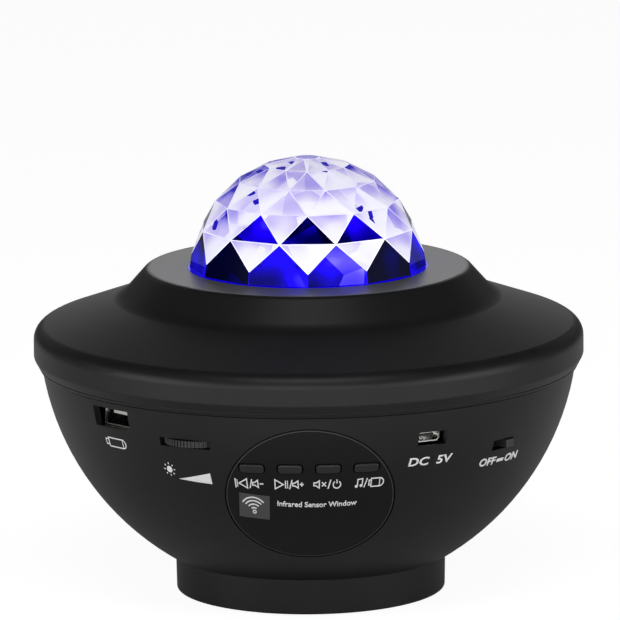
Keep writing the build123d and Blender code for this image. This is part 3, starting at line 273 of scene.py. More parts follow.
# The same on the larger socket, with painted shade in its depth, which gets little light.
usb_way = Vector((sin(radians(usb_azimuth)), -cos(radians(usb_azimuth)), 0))
usb_rim = max(vertex.co.dot(usb_way) for vertex in nodes["usb_shell"].data.vertices) / MM
socket_plate_painted_shade = worked_metal(
    "nickel_plated_socket_painted_shade", ("#d9d8d4", "#f2f1ee"), (0.16, 0.3), 0.3, 0, (usb_way, usb_rim)
)
# Bare extruded aluminium, streaked upwards.
extruded_aluminium = worked_metal("extruded_aluminium", ("#b9babc", "#d3d4d6"), (0.25, 0.4), 0.3, 2)
# Turned brass of the laser's barrel.
turned_brass = worked_metal("turned_brass", ("#b98f3e", "#d2aa57"), (0.2, 0.32), 0.3, 0)
# Blackened steel of the screws.
black_steel = worked_metal("blackened_steel", ("#3a3a3c", "#4c4c4e"), (0.35, 0.5), 0.3, 0)


def led_package(name, glow, strength):
    """LED package: moulded silicone lens; the blue one is lit."""
    made, tree = new_material(name)
    place = add(tree, "ShaderNodeTexCoord").outputs["Object"]
    haze = add(tree, "ShaderNodeTexNoise", {"Vector": place, "Scale": 1 / (1.2 * MM)})
    mixed = {"Fac": haze.outputs["Fac"], "Color1": colour(glow), "Color2": colour("#f4f2e6")}
    tint = add(tree, "ShaderNodeMixRGB", mixed)
    shader = add(
        tree,
        "ShaderNodeBsdfPrincipled",
        {
            "Base Color": tint.outputs[0],
            "Roughness": 0.15,
            "Emission Color": colour(glow),
            "Emission Strength": strength,
        },
    )
    finish_material(tree, shader)
    return made


# ---------------------------------------------------------------- crystal
def crystal_clear():
    """Clear injection-moulded polycarbonate, its tint a painted lavender for the lamp's blue in its edges."""
    made, tree = new_material("clear_polycarbonate")
    place = add(tree, "ShaderNodeTexCoord").outputs["Object"]
    flow = add(tree, "ShaderNodeTexNoise", {"Vector": place, "Scale": 1 / (9 * MM), "Detail": 1.0})
    # Painted light: the lavender tint stands for the lamp's blue.
    tint = ramp(tree, flow.outputs["Fac"], ((0.35, "#f3f4ff"), (0.65, "#d6d3fb")))
    shader = add(
        tree,
        "ShaderNodeBsdfPrincipled",
        {
            "Base Color": tint,
            "Roughness": 0.03,
            "IOR": 1.25,
            "Transmission Weight": 1.0,
        },
    )
    finish_material(tree, shader)
    return made


seed_shift = (370.0, 530.0, 910.0)      # takes each facet's pattern to a place of its own
patch_share = 0.5           # how far a patch changes the tone of its facet
drift_share = 0.8           # and how far the drift does
usual_shift = 0.65          # what both add on average
# deep blue of the painted slivers of refracted light
painted_sliver_blue = "#2418b4"


def painted_light_crystal(name, stops, patch_mm, rise, clear, glow, painted_slivers):
    """Facet with painted light: straight-edged patches of painted refracted colour over a soft drift.

    Each facet has its own tone and seed; rise makes the top of a facet differ from its foot, and
    the slivers are small painted deep-blue refractions in the facets of a higher tone.
    """
    made, tree = new_material(name)
    spread = add(tree, "ShaderNodeUVMap", uv_map="facet").outputs["UV"]
    seed = add(tree, "ShaderNodeAttribute", attribute_name="facet_seed").outputs["Fac"]
    tone = add(tree, "ShaderNodeAttribute", attribute_name="facet_tone").outputs["Fac"]
    shift = add(tree, "ShaderNodeCombineXYZ", {0: seed, 1: seed, 2: seed}).outputs[0]
    moved = add(
        tree,
        "ShaderNodeVectorMath",
        {0: shift, 1: seed_shift, 2: spread},
        operation="MULTIPLY_ADD",
    ).outputs[0]
    cells = add(tree, "ShaderNodeTexVoronoi", {"Vector": moved, "Scale": 1 / patch_mm})
    patch = add(tree, "ShaderNodeSeparateColor", {0: cells.outputs["Color"]}).outputs[0]
    drift = add(tree, "ShaderNodeTexNoise", {"Vector": moved, "Scale": 1.5 / patch_mm, "Detail": 0.0})
    height = add(tree, "ShaderNodeSeparateXYZ", {0: spread}).outputs["Y"]
    value = add(tree, "ShaderNodeMath", {0: patch, 1: patch_share, 2: tone}, operation="MULTIPLY_ADD")
    drifted = {0: drift.outputs["Fac"], 1: drift_share, 2: value.outputs[0]}
    value = add(tree, "ShaderNodeMath", drifted, operation="MULTIPLY_ADD")
    risen = {0: height, 1: rise, 2: value.outputs[0]}
    value = add(tree, "ShaderNodeMath", risen, operation="MULTIPLY_ADD")
    value = add(tree, "ShaderNodeMath", {0: value.outputs[0], 1: usual_shift}, operation="SUBTRACT")
    shade = ramp(tree, value.outputs[0], stops)
    splinters = add(tree, "ShaderNodeTexVoronoi", {"Vector": moved, "Scale": 5.0 / patch_mm})
    chance = add(tree, "ShaderNodeSeparateColor", {0: splinters.outputs["Color"]}).outputs[1]
    chance = add(tree, "ShaderNodeMath", {0: tone, 1: painted_slivers, 2: chance}, operation="MULTIPLY_ADD")
    rare = add(tree, "ShaderNodeMath", {0: chance.outputs[0], 1: 1.0}, operation="GREATER_THAN")
    # Painted refraction: rare deep-blue slivers.
    mixed = {"Fac": rare.outputs[0], "Color1": shade, "Color2": colour(painted_sliver_blue)}
    shade = add(tree, "ShaderNodeMixRGB", mixed).outputs[0]
    # The glow is painted light: the lamp's light seen through the facet.
    shader = add(
        tree,
        "ShaderNodeBsdfPrincipled",
        {
            "Base Color": shade,
            "Roughness": 0.05,
            "Specular IOR Level": 0.06,
            "IOR": 1.3,
            "Transmission Weight": clear,
            "Emission Color": shade,
            "Emission Strength": glow,
        },
    )
    finish_material(tree, shader)
    return made


def facet_edge(bright_z, soft_z):
    """Rounded edge between two facets, with a painted highlight: a pale glowing line, softer near the top."""
    made, tree = new_material("facet_edge_painted_highlight")
    place = add(tree, "ShaderNodeTexCoord").outputs["Object"]
    glint = add(tree, "ShaderNodeTexNoise", {"Vector": place, "Scale": 1 / (6 * MM), "Detail": 0.0})
    height = add(tree, "ShaderNodeSeparateXYZ", {0: place}).outputs["Z"]
    limits = {"From Min": bright_z * MM, "From Max": soft_z * MM}
    softer = add(tree, "ShaderNodeMapRange", {"Value": height, **limits})
    low = ramp(tree, glint.outputs["Fac"], ((0.3, "#dedcff"), (0.7, "#fafaff")))
    top = ramp(tree, glint.outputs["Fac"], ((0.3, "#c9c3f2"), (0.7, "#e8e6fb")))
    mixed = {"Fac": softer.outputs[0], "Color1": low, "Color2": top}
    shade = add(tree, "ShaderNodeMixRGB", mixed).outputs[0]
    # Painted highlight: the pale line glows.
    inputs = {"Base Color": shade, "Roughness": 0.1, "Emission Color": shade, "Emission Strength": 0.6}
    finish_material(tree, add(tree, "ShaderNodeBsdfPrincipled", inputs))
    return made


def crystal_tree():
    """Geometry nodes for the crystal: the hull of its rings of corners, with plinth and flange.

    A round cavity, open below, is taken out of it.
    """
    tree = bpy.data.node_groups.new("faceted_crystal", "GeometryNodeTree")
    tree.interface.new_socket("Geometry", in_out="OUTPUT", socket_type="NodeSocketGeometry")
    lengths = ("Ball radius", "Cavity radius", "Centre height", "Foot radius", "Base height",
               "Plinth radius", "Plinth height", "Flange radius", "Flange thickness")
    kinds = {"Sides": "Int", **dict.fromkeys(lengths, "Float"), "Material": "Material"}
    for label, kind in kinds.items():
        tree.interface.new_socket(label, in_out="INPUT", socket_type="NodeSocket" + kind)
    given = add(tree, "NodeGroupInput").outputs
    sides, base = given["Sides"], given["Base height"]

    rings = []
    for order, latitude in enumerate(ring_latitudes):
        inward = {0: given["Ball radius"], 1: cos(radians(latitude))}
        reach = add(tree, "ShaderNodeMath", inward, operation="MULTIPLY").outputs[0]
        upward = {0: given["Ball radius"], 1: sin(radians(latitude)), 2: given["Centre height"]}
        rise = add(tree, "ShaderNodeMath", upward, operation="MULTIPLY_ADD").outputs[0]
        lift = add(tree, "ShaderNodeCombineXYZ", {2: rise}).outputs[0]
        half_side = {0: pi * (order % 2), 1: sides}
        turn = add(tree, "ShaderNodeMath", half_side, operation="DIVIDE").outputs[0]
        twist = add(tree, "ShaderNodeCombineXYZ", {2: turn}).outputs[0]
        ring = add(tree, "GeometryNodeMeshCircle", {"Vertices": sides, "Radius": reach}).outputs[0]
        placed = {"Geometry": ring, "Translation": lift, "Rotation": twist}
        rings.append(add(tree, "GeometryNodeTransform", placed).outputs[0])
    lift = add(tree, "ShaderNodeCombineXYZ", {2: base}).outputs[0]
    foot = add(tree, "GeometryNodeMeshCircle", {"Vertices": sides, "Radius": given["Foot radius"]}).outputs[0]
    rings.append(add(tree, "GeometryNodeTransform", {"Geometry": foot, "Translation": lift}).outputs[0])
    corners = add(tree, "GeometryNodeJoinGeometry")
    for ring in rings:
        tree.links.new(ring, corners.inputs[0])

    body = add(tree, "GeometryNodeMeshBoolean", operation="UNION", solver="EXACT")
    hull = add(tree, "GeometryNodeConvexHull", {0: corners.outputs[0]}).outputs[0]
    tree.links.new(hull, body.inputs["Mesh 2"])
    for radius, depth in (("Plinth radius", "Plinth height"), ("Flange radius", "Flange thickness")):
        round_part = {"Vertices": disc_corners, "Radius": given[radius], "Depth": given[depth]}
        disc = add(tree, "GeometryNodeMeshCylinder", round_part).outputs[0]
        halfway = {0: given[depth], 1: 0.5, 2: base}
        middle = add(tree, "ShaderNodeMath", halfway, operation="MULTIPLY_ADD").outputs[0]
        lift = add(tree, "ShaderNodeCombineXYZ", {2: middle}).outputs[0]
        raised = add(tree, "GeometryNodeTransform", {"Geometry": disc, "Translation": lift}).outputs[0]
        tree.links.new(raised, body.inputs["Mesh 2"])

    cavity = add(tree, "GeometryNodeMeshBoolean", operation="UNION", solver="EXACT")
    round_part = {"Segments": ball_corners, "Rings": ball_corners // 2, "Radius": given["Cavity radius"]}
    ball = add(tree, "GeometryNodeMeshUVSphere", round_part).outputs[0]
    lift = add(tree, "ShaderNodeCombineXYZ", {2: given["Centre height"]}).outputs[0]
    raised = add(tree, "GeometryNodeTransform", {"Geometry": ball, "Translation": lift}).outputs[0]
    tree.links.new(raised, cavity.inputs["Mesh 2"])
    depth = given["Plinth height"]
    round_part = {"Vertices": ball_corners, "Radius": given["Cavity radius"], "Depth": depth}
    mouth = add(tree, "GeometryNodeMeshCylinder", round_part).outputs[0]
    halfway = {0: depth, 1: -0.5, 2: given["Centre height"]}
    middle = add(tree, "ShaderNodeMath", halfway, operation="MULTIPLY_ADD").outputs[0]
    lift = add(tree, "ShaderNodeCombineXYZ", {2: middle}).outputs[0]
    lowered = add(tree, "GeometryNodeTransform", {"Geometry": mouth, "Translation": lift}).outputs[0]
    tree.links.new(lowered, cavity.inputs["Mesh 2"])

    whole = {"Mesh 1": body.outputs["Mesh"]}
    shell = add(tree, "GeometryNodeMeshBoolean", whole, operation="DIFFERENCE", solver="EXACT")
    tree.links.new(cavity.outputs["Mesh"], shell.inputs["Mesh 2"])
    real = add(tree, "GeometryNodeRealizeInstances", {0: shell.outputs["Mesh"]}).outputs[0]
    coated = add(tree, "GeometryNodeSetMaterial", {"Geometry": real, "Material": given["Material"]})
    add(tree, "NodeGroupOutput", {0: coated.outputs[0]})
    return tree


def grow(name, tree, values):
    """Run a geometry node tree with named inputs and keep its result as a plain mesh."""
    carrier = mesh_object(name, bpy.data.meshes.new(name))
    modifier = carrier.modifiers.new("grow", "NODES")
    modifier.node_group = tree
    for item in tree.interface.items_tree:
        if item.in_out == "INPUT" and item.name in values:
            modifier[item.identifier] = values[item.name]
    bpy.context.view_layer.update()
    graph = bpy.context.evaluated_depsgraph_get()
    made = bpy.data.meshes.new_from_object(carrier.evaluated_get(graph))
    carrier.modifiers.remove(modifier)
    carrier.data = made
    return carrier


def ring_corner(order, side):
    """Corner of one ring of the crystal, in mm from the ball's centre."""
    latitude = radians(ring_latitudes[order])
    angle = 2 * pi * side / crystal_sides + pi / crystal_sides * (order % 2)
    return crystal_radius * Vector((cos(latitude) * cos(angle), cos(latitude) * sin(angle), sin(latitude)))


def crystal_facet_list():
    """Every facet as (row, azimuth from the front, normal, middle); the row names the way it points."""
    facets = [("cap", 0, Vector((0, 0, 1)), Vector((0, 0, ring_corner(len(ring_latitudes) - 1, 0).z)))]
    for order in range(len(ring_latitudes) - 1):
        for side in range(crystal_sides):
            ahead = (side + order % 2) % crystal_sides
            here, there = ring_corner(order, side), ring_corner(order, side + 1)
            above, before = ring_corner(order + 1, ahead), ring_corner(order + 1, ahead - 1)
            for way, corners in (("up", (here, there, above)), ("down", (here, above, before))):
                a, b, c = corners
                middle = (a + b + c) / 3
                azimuth = round(degrees(atan2(middle.x, -middle.y)))
                facets.append((f"{way}_{order}", azimuth, (b - a).cross(c - a).normalized(), middle))
    return facets


def facet_at(facets, normal):
    """Number of the facet that lies along a normal, or None."""
    best = max(range(len(facets)), key=lambda index: facets[index][2].dot(normal))
    return best if facets[best][2].dot(normal) > same_way else None


def round_facet_edges(data, facets, width, slot):
    """Break the edges between facets, as moulded ones are, and give the breaks a finish by its slot."""
    shape = bmesh.new()
    shape.from_mesh(data)
    shape.normal_update()
    owner = {face: facet_at(facets, face.normal) for face in shape.faces}
    sharp = []
    for edge in shape.edges:
        owners = [owner[face] for face in edge.link_faces]
        if None not in owners and len(set(owners)) == 2:
            sharp.append(edge)
    bmesh.ops.bevel(shape, geom=sharp, offset=width, segments=1, affect="EDGES", material=slot)
    shape.to_mesh(data)
    shape.free()


clear_polycarbonate = crystal_clear()
foot_across = ring_corner(0, 0).xy.length * cos(pi / crystal_sides)
foot_lean = (foot_across - ring_corner(1, 0).xy.length) / (ring_corner(1, 0).z - ring_corner(0, 0).z)
foot_drop = crystal_z + ring_corner(0, 0).z - flange_z
foot_radius = (foot_across + foot_lean * foot_drop) / cos(pi / crystal_sides)
# The plinth stands just outside the corners that the facets have at the height of the ball's centre.
plinth_radius = (foot_across + foot_lean * ring_corner(0, 0).z) / cos(pi / crystal_sides) + plinth_gap

crystal = grow(
    "crystal_dome",
    crystal_tree(),
    {
        "Sides": crystal_sides,
        "Ball radius": crystal_radius * MM,
        "Cavity radius": (crystal_radius - crystal_wall) * MM,
        "Centre height": crystal_z * MM,
        "Foot radius": foot_radius * MM,
        "Base height": flange_z * MM,
        "Plinth radius": plinth_radius * MM,
        "Plinth height": (collar_z - flange_z) * MM,
        "Flange radius": flange_radius * MM,
        "Flange thickness": flange_thickness * MM,
        "Material": clear_polycarbonate,
    },
)

# Painted light: blue facets low down, pale ones between them and over the top, their colours and
# glow standing in for the lamp's light refracted through the crystal. The tones of the front follow
# the lamp as it is lit in use, and the others are drawn at random.
blue_stops = (
    (0.0, "#00001e"), (0.2, "#000042"), (0.42, "#0c00a8"),
    (0.6, "#1802fc"), (0.85, "#5548f5"), (1.0, "#8a84f6"),
)
pale_stops = (
    (0.0, "#f9f9ff"), (0.3, "#efeefe"), (0.45, "#ddd8f8"),
    (0.65, "#beb4ee"), (0.85, "#8c82e4"), (1.0, "#2c20b8"),
)
front_painted_tones = {
    ("up_0", -45): 0.1, ("up_0", -15): 0.34, ("up_0", 15): 0.6, ("up_0", 45): -0.3,
    ("up_1", -30): 0.22, ("up_1", 0): 0.08, ("up_1", 30): 0.58,
    ("up_0", -75): 0.2, ("up_0", 75): 0.2, ("up_1", -60): 0.62, ("up_1", 60): 0.5,
    ("down_2", -90): 0.86, ("down_2", 90): 0.9, ("up_2", -75): 0.74, ("up_2", 75): 0.7,
    ("up_3", -90): 0.84, ("up_3", 90): 0.88, ("down_3", -75): 0.7, ("down_3", 75): 0.74, ("cap", 0): 1.0,
}
row_tones = {"down_0": (0.14, 0.3), "down_1": (0.34, 0.46), "up_0": (-0.1, 0.6), "up_1": (0.15, 0.5)}
upper_tones = (0.25, 0.6)
lit_rows = ("up_0", "up_1")
pale_facets = (("up_1", -60), ("up_1", 60))      # they lie in a lit row, and their painted pale colour stands for the room's light they catch
edge_width = 0.14 * MM
# tone of the plinth's painted blue glow
plinth_glow_tone = 0.35
plinth_height = 0.5         # what lies lower above the collar is plinth
hidden_depth = 2.0          # and this far below the collar's top nothing shows
edge_highlight_full_z = crystal_z + ring_corner(1, 0).z + 1.0      # the painted highlight of facet edges is brightest up to the second ring
edge_highlight_soft_z = crystal_z + ring_corner(2, 0).z
cavity_slack = 1.001        # the cavity's corners lie within this many of its radii

facets = crystal_facet_list()
blue_slot, pale_slot, edge_slot = 1, 2, 3       # places in the following list
crystal.data.materials.clear()
for finish in (
    clear_polycarbonate,
    painted_light_crystal("blue_facets_painted_glow", blue_stops, 15.0, rise=0.0, clear=0.0, glow=0.76, painted_slivers=0.0),
    painted_light_crystal("pale_facets_painted_glow", pale_stops, 12.0, rise=0.045, clear=0.1, glow=0.42, painted_slivers=0.05),
    facet_edge(edge_highlight_full_z, edge_highlight_soft_z),
):
    crystal.data.materials.append(finish)
round_facet_edges(crystal.data, facets, edge_width, edge_slot)

draw = np.random.default_rng(7)
seeds = draw.random(len(facets))
tones = [
    front_painted_tones.get((row, azimuth), draw.uniform(*row_tones.get(row, upper_tones)))
    for row, azimuth, normal, middle in facets
]
uv = crystal.data.uv_layers.new(name="facet")
seed_values = crystal.data.attributes.new("facet_seed", "FLOAT", "FACE")
tone_values = crystal.data.attributes.new("facet_tone", "FLOAT", "FACE")
inside = (crystal_radius - crystal_wall) * MM * cavity_slack
ball_centre = Vector((0, 0, crystal_z * MM))
for polygon in crystal.data.polygons:
    reach = max((crystal.data.vertices[vertex].co - ball_centre).length for vertex in polygon.vertices)
    if reach < inside or polygon.center.z < (collar_z - hidden_depth) * MM:
        polygon.use_smooth = reach < inside
        continue
    if polygon.material_index == edge_slot and polygon.center.z > (crystal_z + ring_corner(0, 0).z) * MM:
        continue
    index = facet_at(facets, polygon.normal)
    if index is None or polygon.center.z < (collar_z + plinth_height) * MM:
        # The plinth gets the painted glow of the feet of the blue facets, and so do the edges between those.
        polygon.material_index = blue_slot
        tone_values.data[polygon.index].value = plinth_glow_tone
        continue
    row, azimuth, normal, middle = facets[index]
    blue = row in lit_rows and (row, azimuth) not in pale_facets
    polygon.material_index = blue_slot if blue else pale_slot
    seed_values.data[polygon.index].value = seeds[index]
    tone_values.data[polygon.index].value = tones[index]
    right = Vector((0, 0, 1)).cross(normal).normalized() if row != "cap" else Vector((1, 0, 0))
    up = normal.cross(right)
    for loop in polygon.loop_indices:
        place = crystal.data.vertices[crystal.data.loops[loop].vertex_index].co / MM
        flat = place - Vector((0, 0, crystal_z)) - middle
        uv.data[loop].uv = (flat.dot(right), flat.dot(up))
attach(crystal, "lamp_body")
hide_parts("dome")

# ================================================================ finishes of the CAD pieces
dress(soft_touch_abs, "bowl_housing", "top_cover", "pedestal", "speaker_grille")
dress(panel_film, "control_panel")
dress(satin_abs, "button_1", "button_2", "button_3", "button_4")
dress(handled_abs, "thumbwheel", "switch_knob")
dress(smoked_acrylic, "sensor_window")
dress(chassis_abs, "lamp_chassis", "dome_retainer", "tact_switches", "switch_body", "board_chips",
      "remote_sensor", "potentiometer", "micro_usb_tongue")
dress(white_acetal, "wave_ring", "grating_ring", "drive_pinion", "usb_tongue")
dress(green_mask, "main_board", "button_board")
dress(white_mask, "led_board")
dress(led_package("red_led", "#d8382c", 0.0), "led_red")
dress(led_package("green_led", "#2ecf4c", 0.0), "led_green")
dress(led_package("blue_led", "#1a10ff", 6.0), "led_blue")
dress(led_package("white_led", "#efe6b8", 0.0), "led_white")
dress(extruded_aluminium, "heat_sink")
dress(turned_brass, "laser_module")
dress(socket_plate_painted_shade, "usb_shell")
dress(nickel_plate, "micro_usb_shell", "gear_motor", "speaker_magnet")
dress(black_steel, "base_screws", "cover_screws", "retainer_screws", "board_screws",
      "button_board_screws", "speaker_screws")
dress(black_rubber, "rubber_foot_1", "rubber_foot_2", "rubber_foot_3", "rubber_foot_4")
dress(coated_paper, "speaker_cone")
dress(black_enamel, "speaker_frame")
dress(clear_polycarbonate, "wave_lens", "lens_array", "star_grating")


# ================================================================ printed symbols
def filled(shape, points):
    """Add a filled polygon, in mm."""
    shape.faces.new([shape.verts.new((x, y, 0)) for x, y in points])


def stroke(shape, points, width, closed=False):
    """Add a line of even width through points, with mitred corners."""
    path = [Vector(p) for p in points]
    count = len(path)
    sides = []
    for index, point in enumerate(path):
        pairs = []
        if index or closed:
            pairs.append((path[index - 1], point))
        if index < count - 1 or closed:
            pairs.append((point, path[(index + 1) % count]))
        steps = [(b - a).normalized() for a, b in pairs]
        normals = [Vector((-step.y, step.x)) for step in steps]
        middle = sum(normals, Vector((0, 0))).normalized()
        aside = middle * (width / 2 / max(middle.dot(normals[0]), mitre_limit))
        sides.append((shape.verts.new((*(point + aside), 0)), shape.verts.new((*(point - aside), 0))))
    for index in range(count if closed else count - 1):
        a, b = sides[index], sides[(index + 1) % count]
        shape.faces.new((a[0], a[1], b[1], b[0]))


def on_circle(x, y, radius, angle):
    """Point on a circle, its angle in radians."""
    return x + radius * cos(angle), y + radius * sin(angle)


def disc(shape, x, y, radius, corners=16):
    """Add a filled disc."""
    filled(shape, [on_circle(x, y, radius, 2 * pi * i / corners) for i in range(corners)])


def arc(x, y, radius, start, end, steps=12):
    """Points along an arc, its angles in degrees."""
    angles = [radians(start + (end - start) * i / steps) for i in range(steps + 1)]
    return [on_circle(x, y, radius, angle) for angle in angles]


def lettering(shape, text, x, y, height, slant=0.0, weight=0.0, stretch=1.0):
    """Add plain lettering, centred on x and y, height being that of its capitals."""
    curve = bpy.data.curves.new("lettering", "FONT")
    curve.body = text
    curve.align_x = "CENTER"
    curve.align_y = "CENTER"
    curve.size = height / capital_share
    curve.shear = slant
    curve.offset = weight
    curve.resolution_u = 3
    carrier = mesh_object("lettering", curve)
    bpy.context.view_layer.update()
    graph = bpy.context.evaluated_depsgraph_get()
    flat = bpy.data.meshes.new_from_object(carrier.evaluated_get(graph))
    flat.transform(Matrix.Translation((x, y, 0)) @ Matrix.Diagonal((stretch, 1, 1, 1)))
    shape.from_mesh(flat)
    bpy.data.objects.remove(carrier)
    bpy.data.curves.remove(curve)
    bpy.data.meshes.remove(flat)


def skin_place(azimuth, height):
    """Axes of the ball's skin at an azimuth from the front and a height: right, up and outwards."""
    lean = asin((height - bowl_centre_z) / bowl_radius)
    side = radians(azimuth)
    out = Vector((cos(lean) * sin(side), -cos(lean) * cos(side), sin(lean)))
    right = Vector((cos(side), sin(side), 0))
    return right, out.cross(right), out


def level_place(x, height):
    """The same, for a place on the panel given by x."""
    reach = sqrt(bowl_radius**2 - (bowl_centre_z - height) ** 2)
    return skin_place(degrees(asin(x / reach)), height)


def print_on_skin(name, drawing, place, sunk=0.0, ink=white_ink):
    """Draw a flat shape, cut it fine, lay it on the ball and give it the thickness of ink.

    The wall leans away from the eye, so the art is made taller there and reads square from in front.
    """
    shape = bmesh.new()
    drawing(shape)
    right, up, out = place
    bmesh.ops.scale(shape, vec=(1, 1 / cos(eye_line - asin(out.z)), 1), verts=shape.verts)
    bmesh.ops.remove_doubles(shape, verts=shape.verts, dist=ink_weld)
    low = [min(v.co[axis] for v in shape.verts) for axis in (0, 1)]
    high = [max(v.co[axis] for v in shape.verts) for axis in (0, 1)]
    for axis in (0, 1):
        normal = Vector((axis == 0, axis == 1, 0))
        for step in range(1, int((high[axis] - low[axis]) / ink_step) + 1):
            cut = normal * (low[axis] + step * ink_step)
            everything = shape.verts[:] + shape.edges[:] + shape.faces[:]
            bmesh.ops.bisect_plane(shape, geom=everything, plane_co=cut, plane_no=normal)
    bmesh.ops.recalc_face_normals(shape, faces=shape.faces)
    for one in shape.faces:
        if one.normal.z < 0:
            one.normal_flip()
    raised = bmesh.ops.extrude_face_region(shape, geom=shape.faces[:])
    tops = {v for v in raised["geom"] if isinstance(v, bmesh.types.BMVert)}
    for vertex in shape.verts:
        radius = bowl_radius - sunk + (ink_lift if vertex in tops else ink_lift - ink_depth)
        x, y = vertex.co.x, vertex.co.y
        along = sqrt(radius**2 - x * x - y * y)
        place_mm = right * x + up * y + out * along + Vector((0, 0, bowl_centre_z))
        vertex.co = place_mm * MM
    bmesh.ops.recalc_face_normals(shape, faces=shape.faces)
    data = bpy.data.meshes.new(name)
    shape.to_mesh(data)
    shape.free()
    made = mesh_object(name, data)
    data.materials.append(ink)
    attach(made, "lamp_body")


# The symbols are drawn in mm, around the middle of each print.
line = 0.34                 # width of the drawn lines
tall = 2.7                  # height of the larger symbols
short = 2.1                 # and of the smaller ones


def bar(shape, x, y, width, height):
    """Filled upright rectangle."""
    w, h = width / 2, height / 2
    filled(shape, [(x - w, y - h), (x + w, y - h), (x + w, y + h), (x - w, y + h)])


def slash(shape, x):
    """Leaning line between two symbols."""
    stroke(shape, [(x - 0.4, -tall / 2), (x + 0.4, tall / 2)], line)


def triangle_symbol(shape, x, way):
    """Outline of a triangle that points right, or left where way is -1."""
    s = tall / 2
    blunt, tip = x - way * s * 0.85, x + way * s * 0.95
    stroke(shape, [(blunt, -s), (tip, 0), (blunt, s)], line, closed=True)


def speaker_symbol(shape, x):
    """Outline of a loudspeaker: small box and horn."""
    s = short / 2
    horn = [(x + s * 0.7, -s), (x + s * 0.7, s), (x - s * 0.2, s * 0.4), (x - s * 0.8, s * 0.4)]
    stroke(shape, horn + [(x - s * 0.8, -s * 0.4), (x - s * 0.2, -s * 0.4)], line, closed=True)


def stick_symbol(shape, x, width, height):
    """Outline of a memory stick: the plug at its left end, the other end round."""
    w, h = width / 2, height / 2
    neck, turn = x - w * 0.7, x + w - h
    stroke(shape, [(neck, h), (neck, -h)] + arc(turn, 0, h, -90, 90, 8), line, closed=True)
    stroke(shape, [(neck, -h * 0.6), (x - w, -h * 0.6), (x - w, h * 0.6), (neck, h * 0.6)], line)
    stroke(shape, [(turn, -h), (turn, h)], line * 0.8)


def previous_or_quieter(shape):
    """A bar and a triangle to the left; a loudspeaker and a minus."""
    bar(shape, -4.15, 0, line, tall)
    bar(shape, -3.6, 0, line * 0.7, tall * 0.8)
    triangle_symbol(shape, -1.8, -1)
    slash(shape, 0.5)
    speaker_symbol(shape, 1.9)
    bar(shape, 3.7, 0, 1.1, line)


def play_or_louder(shape):
    """A triangle to the right and two bars; a loudspeaker and a plus."""
    triangle_symbol(shape, -3.0, 1)
    bar(shape, -1.05, 0, line, tall * 0.85)
    bar(shape, -0.45, 0, line * 0.7, tall * 0.85)
    slash(shape, 0.5)
    speaker_symbol(shape, 1.9)
    bar(shape, 3.7, 0, 1.2, line)
    bar(shape, 3.7, 0, line, 1.2)


def mute_or_power(shape):
    """A crossed-out loudspeaker; the power sign."""
    speaker_symbol(shape, -3.7)
    stroke(shape, [(-2.2, -0.6), (-1.0, 0.6)], line)
    stroke(shape, [(-2.2, 0.6), (-1.0, -0.6)], line)
    slash(shape, 0.0)
    stroke(shape, arc(2.2, -0.15, 1.1, 125, 415), line)
    bar(shape, 2.2, 0.75, line, 1.2)


def music_or_stick(shape):
    """A pair of notes; a memory stick."""
    disc(shape, -3.3, -0.95, 0.45)
    disc(shape, -1.9, -0.75, 0.45)
    stroke(shape, [(-3.0, -0.95), (-3.0, 1.05), (-1.6, 1.25), (-1.6, -0.75)], line)
    slash(shape, -0.6)
    stick_symbol(shape, 2.6, 4.4, 2.4)


def receiver(shape):
    """Waves above a ring, on the window of the remote sensor."""
    stroke(shape, arc(0, 0, 0.45, 0, 330), 0.3, closed=True)
    for radius, spread in ((1.2, 38), (2.2, 43), (3.2, 47), (4.15, 50)):
        stroke(shape, arc(0, 0, radius, 90 - spread, 90 + spread), 0.38)


def sun(shape):
    """A disc with eight rays: the sign for brightness, beside the wedge."""
    disc(shape, 0, 0, 0.95, 24)
    for index in range(8):
        angle = pi / 4 * index
        ray = Vector((cos(angle), sin(angle)))
        stroke(shape, [ray * 1.45, ray * 1.95], 0.28)


def wedge(shape):
    """Narrow where the light is low and wide where it is full."""
    filled(shape, [(-5.4, -0.7), (5.5, -1.35), (5.5, 1.8)])


def memory_stick(shape):
    """The same stick as on the fourth key, larger, above the USB socket."""
    stick_symbol(shape, 0, 8.6, 2.5)


def off_and_on(shape):
    """The words for both ends of the slide switch, with a bar between them."""
    lettering(shape, "OFF", -5.4, 0, 2.1, weight=0.1, stretch=1.3)
    bar(shape, 0.1, 0, 3.0, 0.9)
    lettering(shape, "ON", 5.4, 0, 2.1, weight=0.1, stretch=1.3)


def panel_line(shape):
    """Thin line round the panel, drawn flat enough to come out round on the leaning wall."""
    squash = cos(eye_line - asin(level_place(0, panel_z)[2].z))
    points = [(x, y * squash) for x, y in arc(0, 0, panel_line_radius, 0, 360, 120)]
    stroke(shape, points[:-1], 0.16, closed=True)


def sensor_words(shape):
    """The receiver's label."""
    lettering(shape, "Infrared Sensor Window", 0, 0, 1.5, weight=0.05, stretch=1.08)


def supply_words(shape):
    """The supply's voltage, above the power inlet."""
    lettering(shape, "DC  5V", 0, 0, 2.3, slant=0.1, weight=0.08, stretch=1.4)


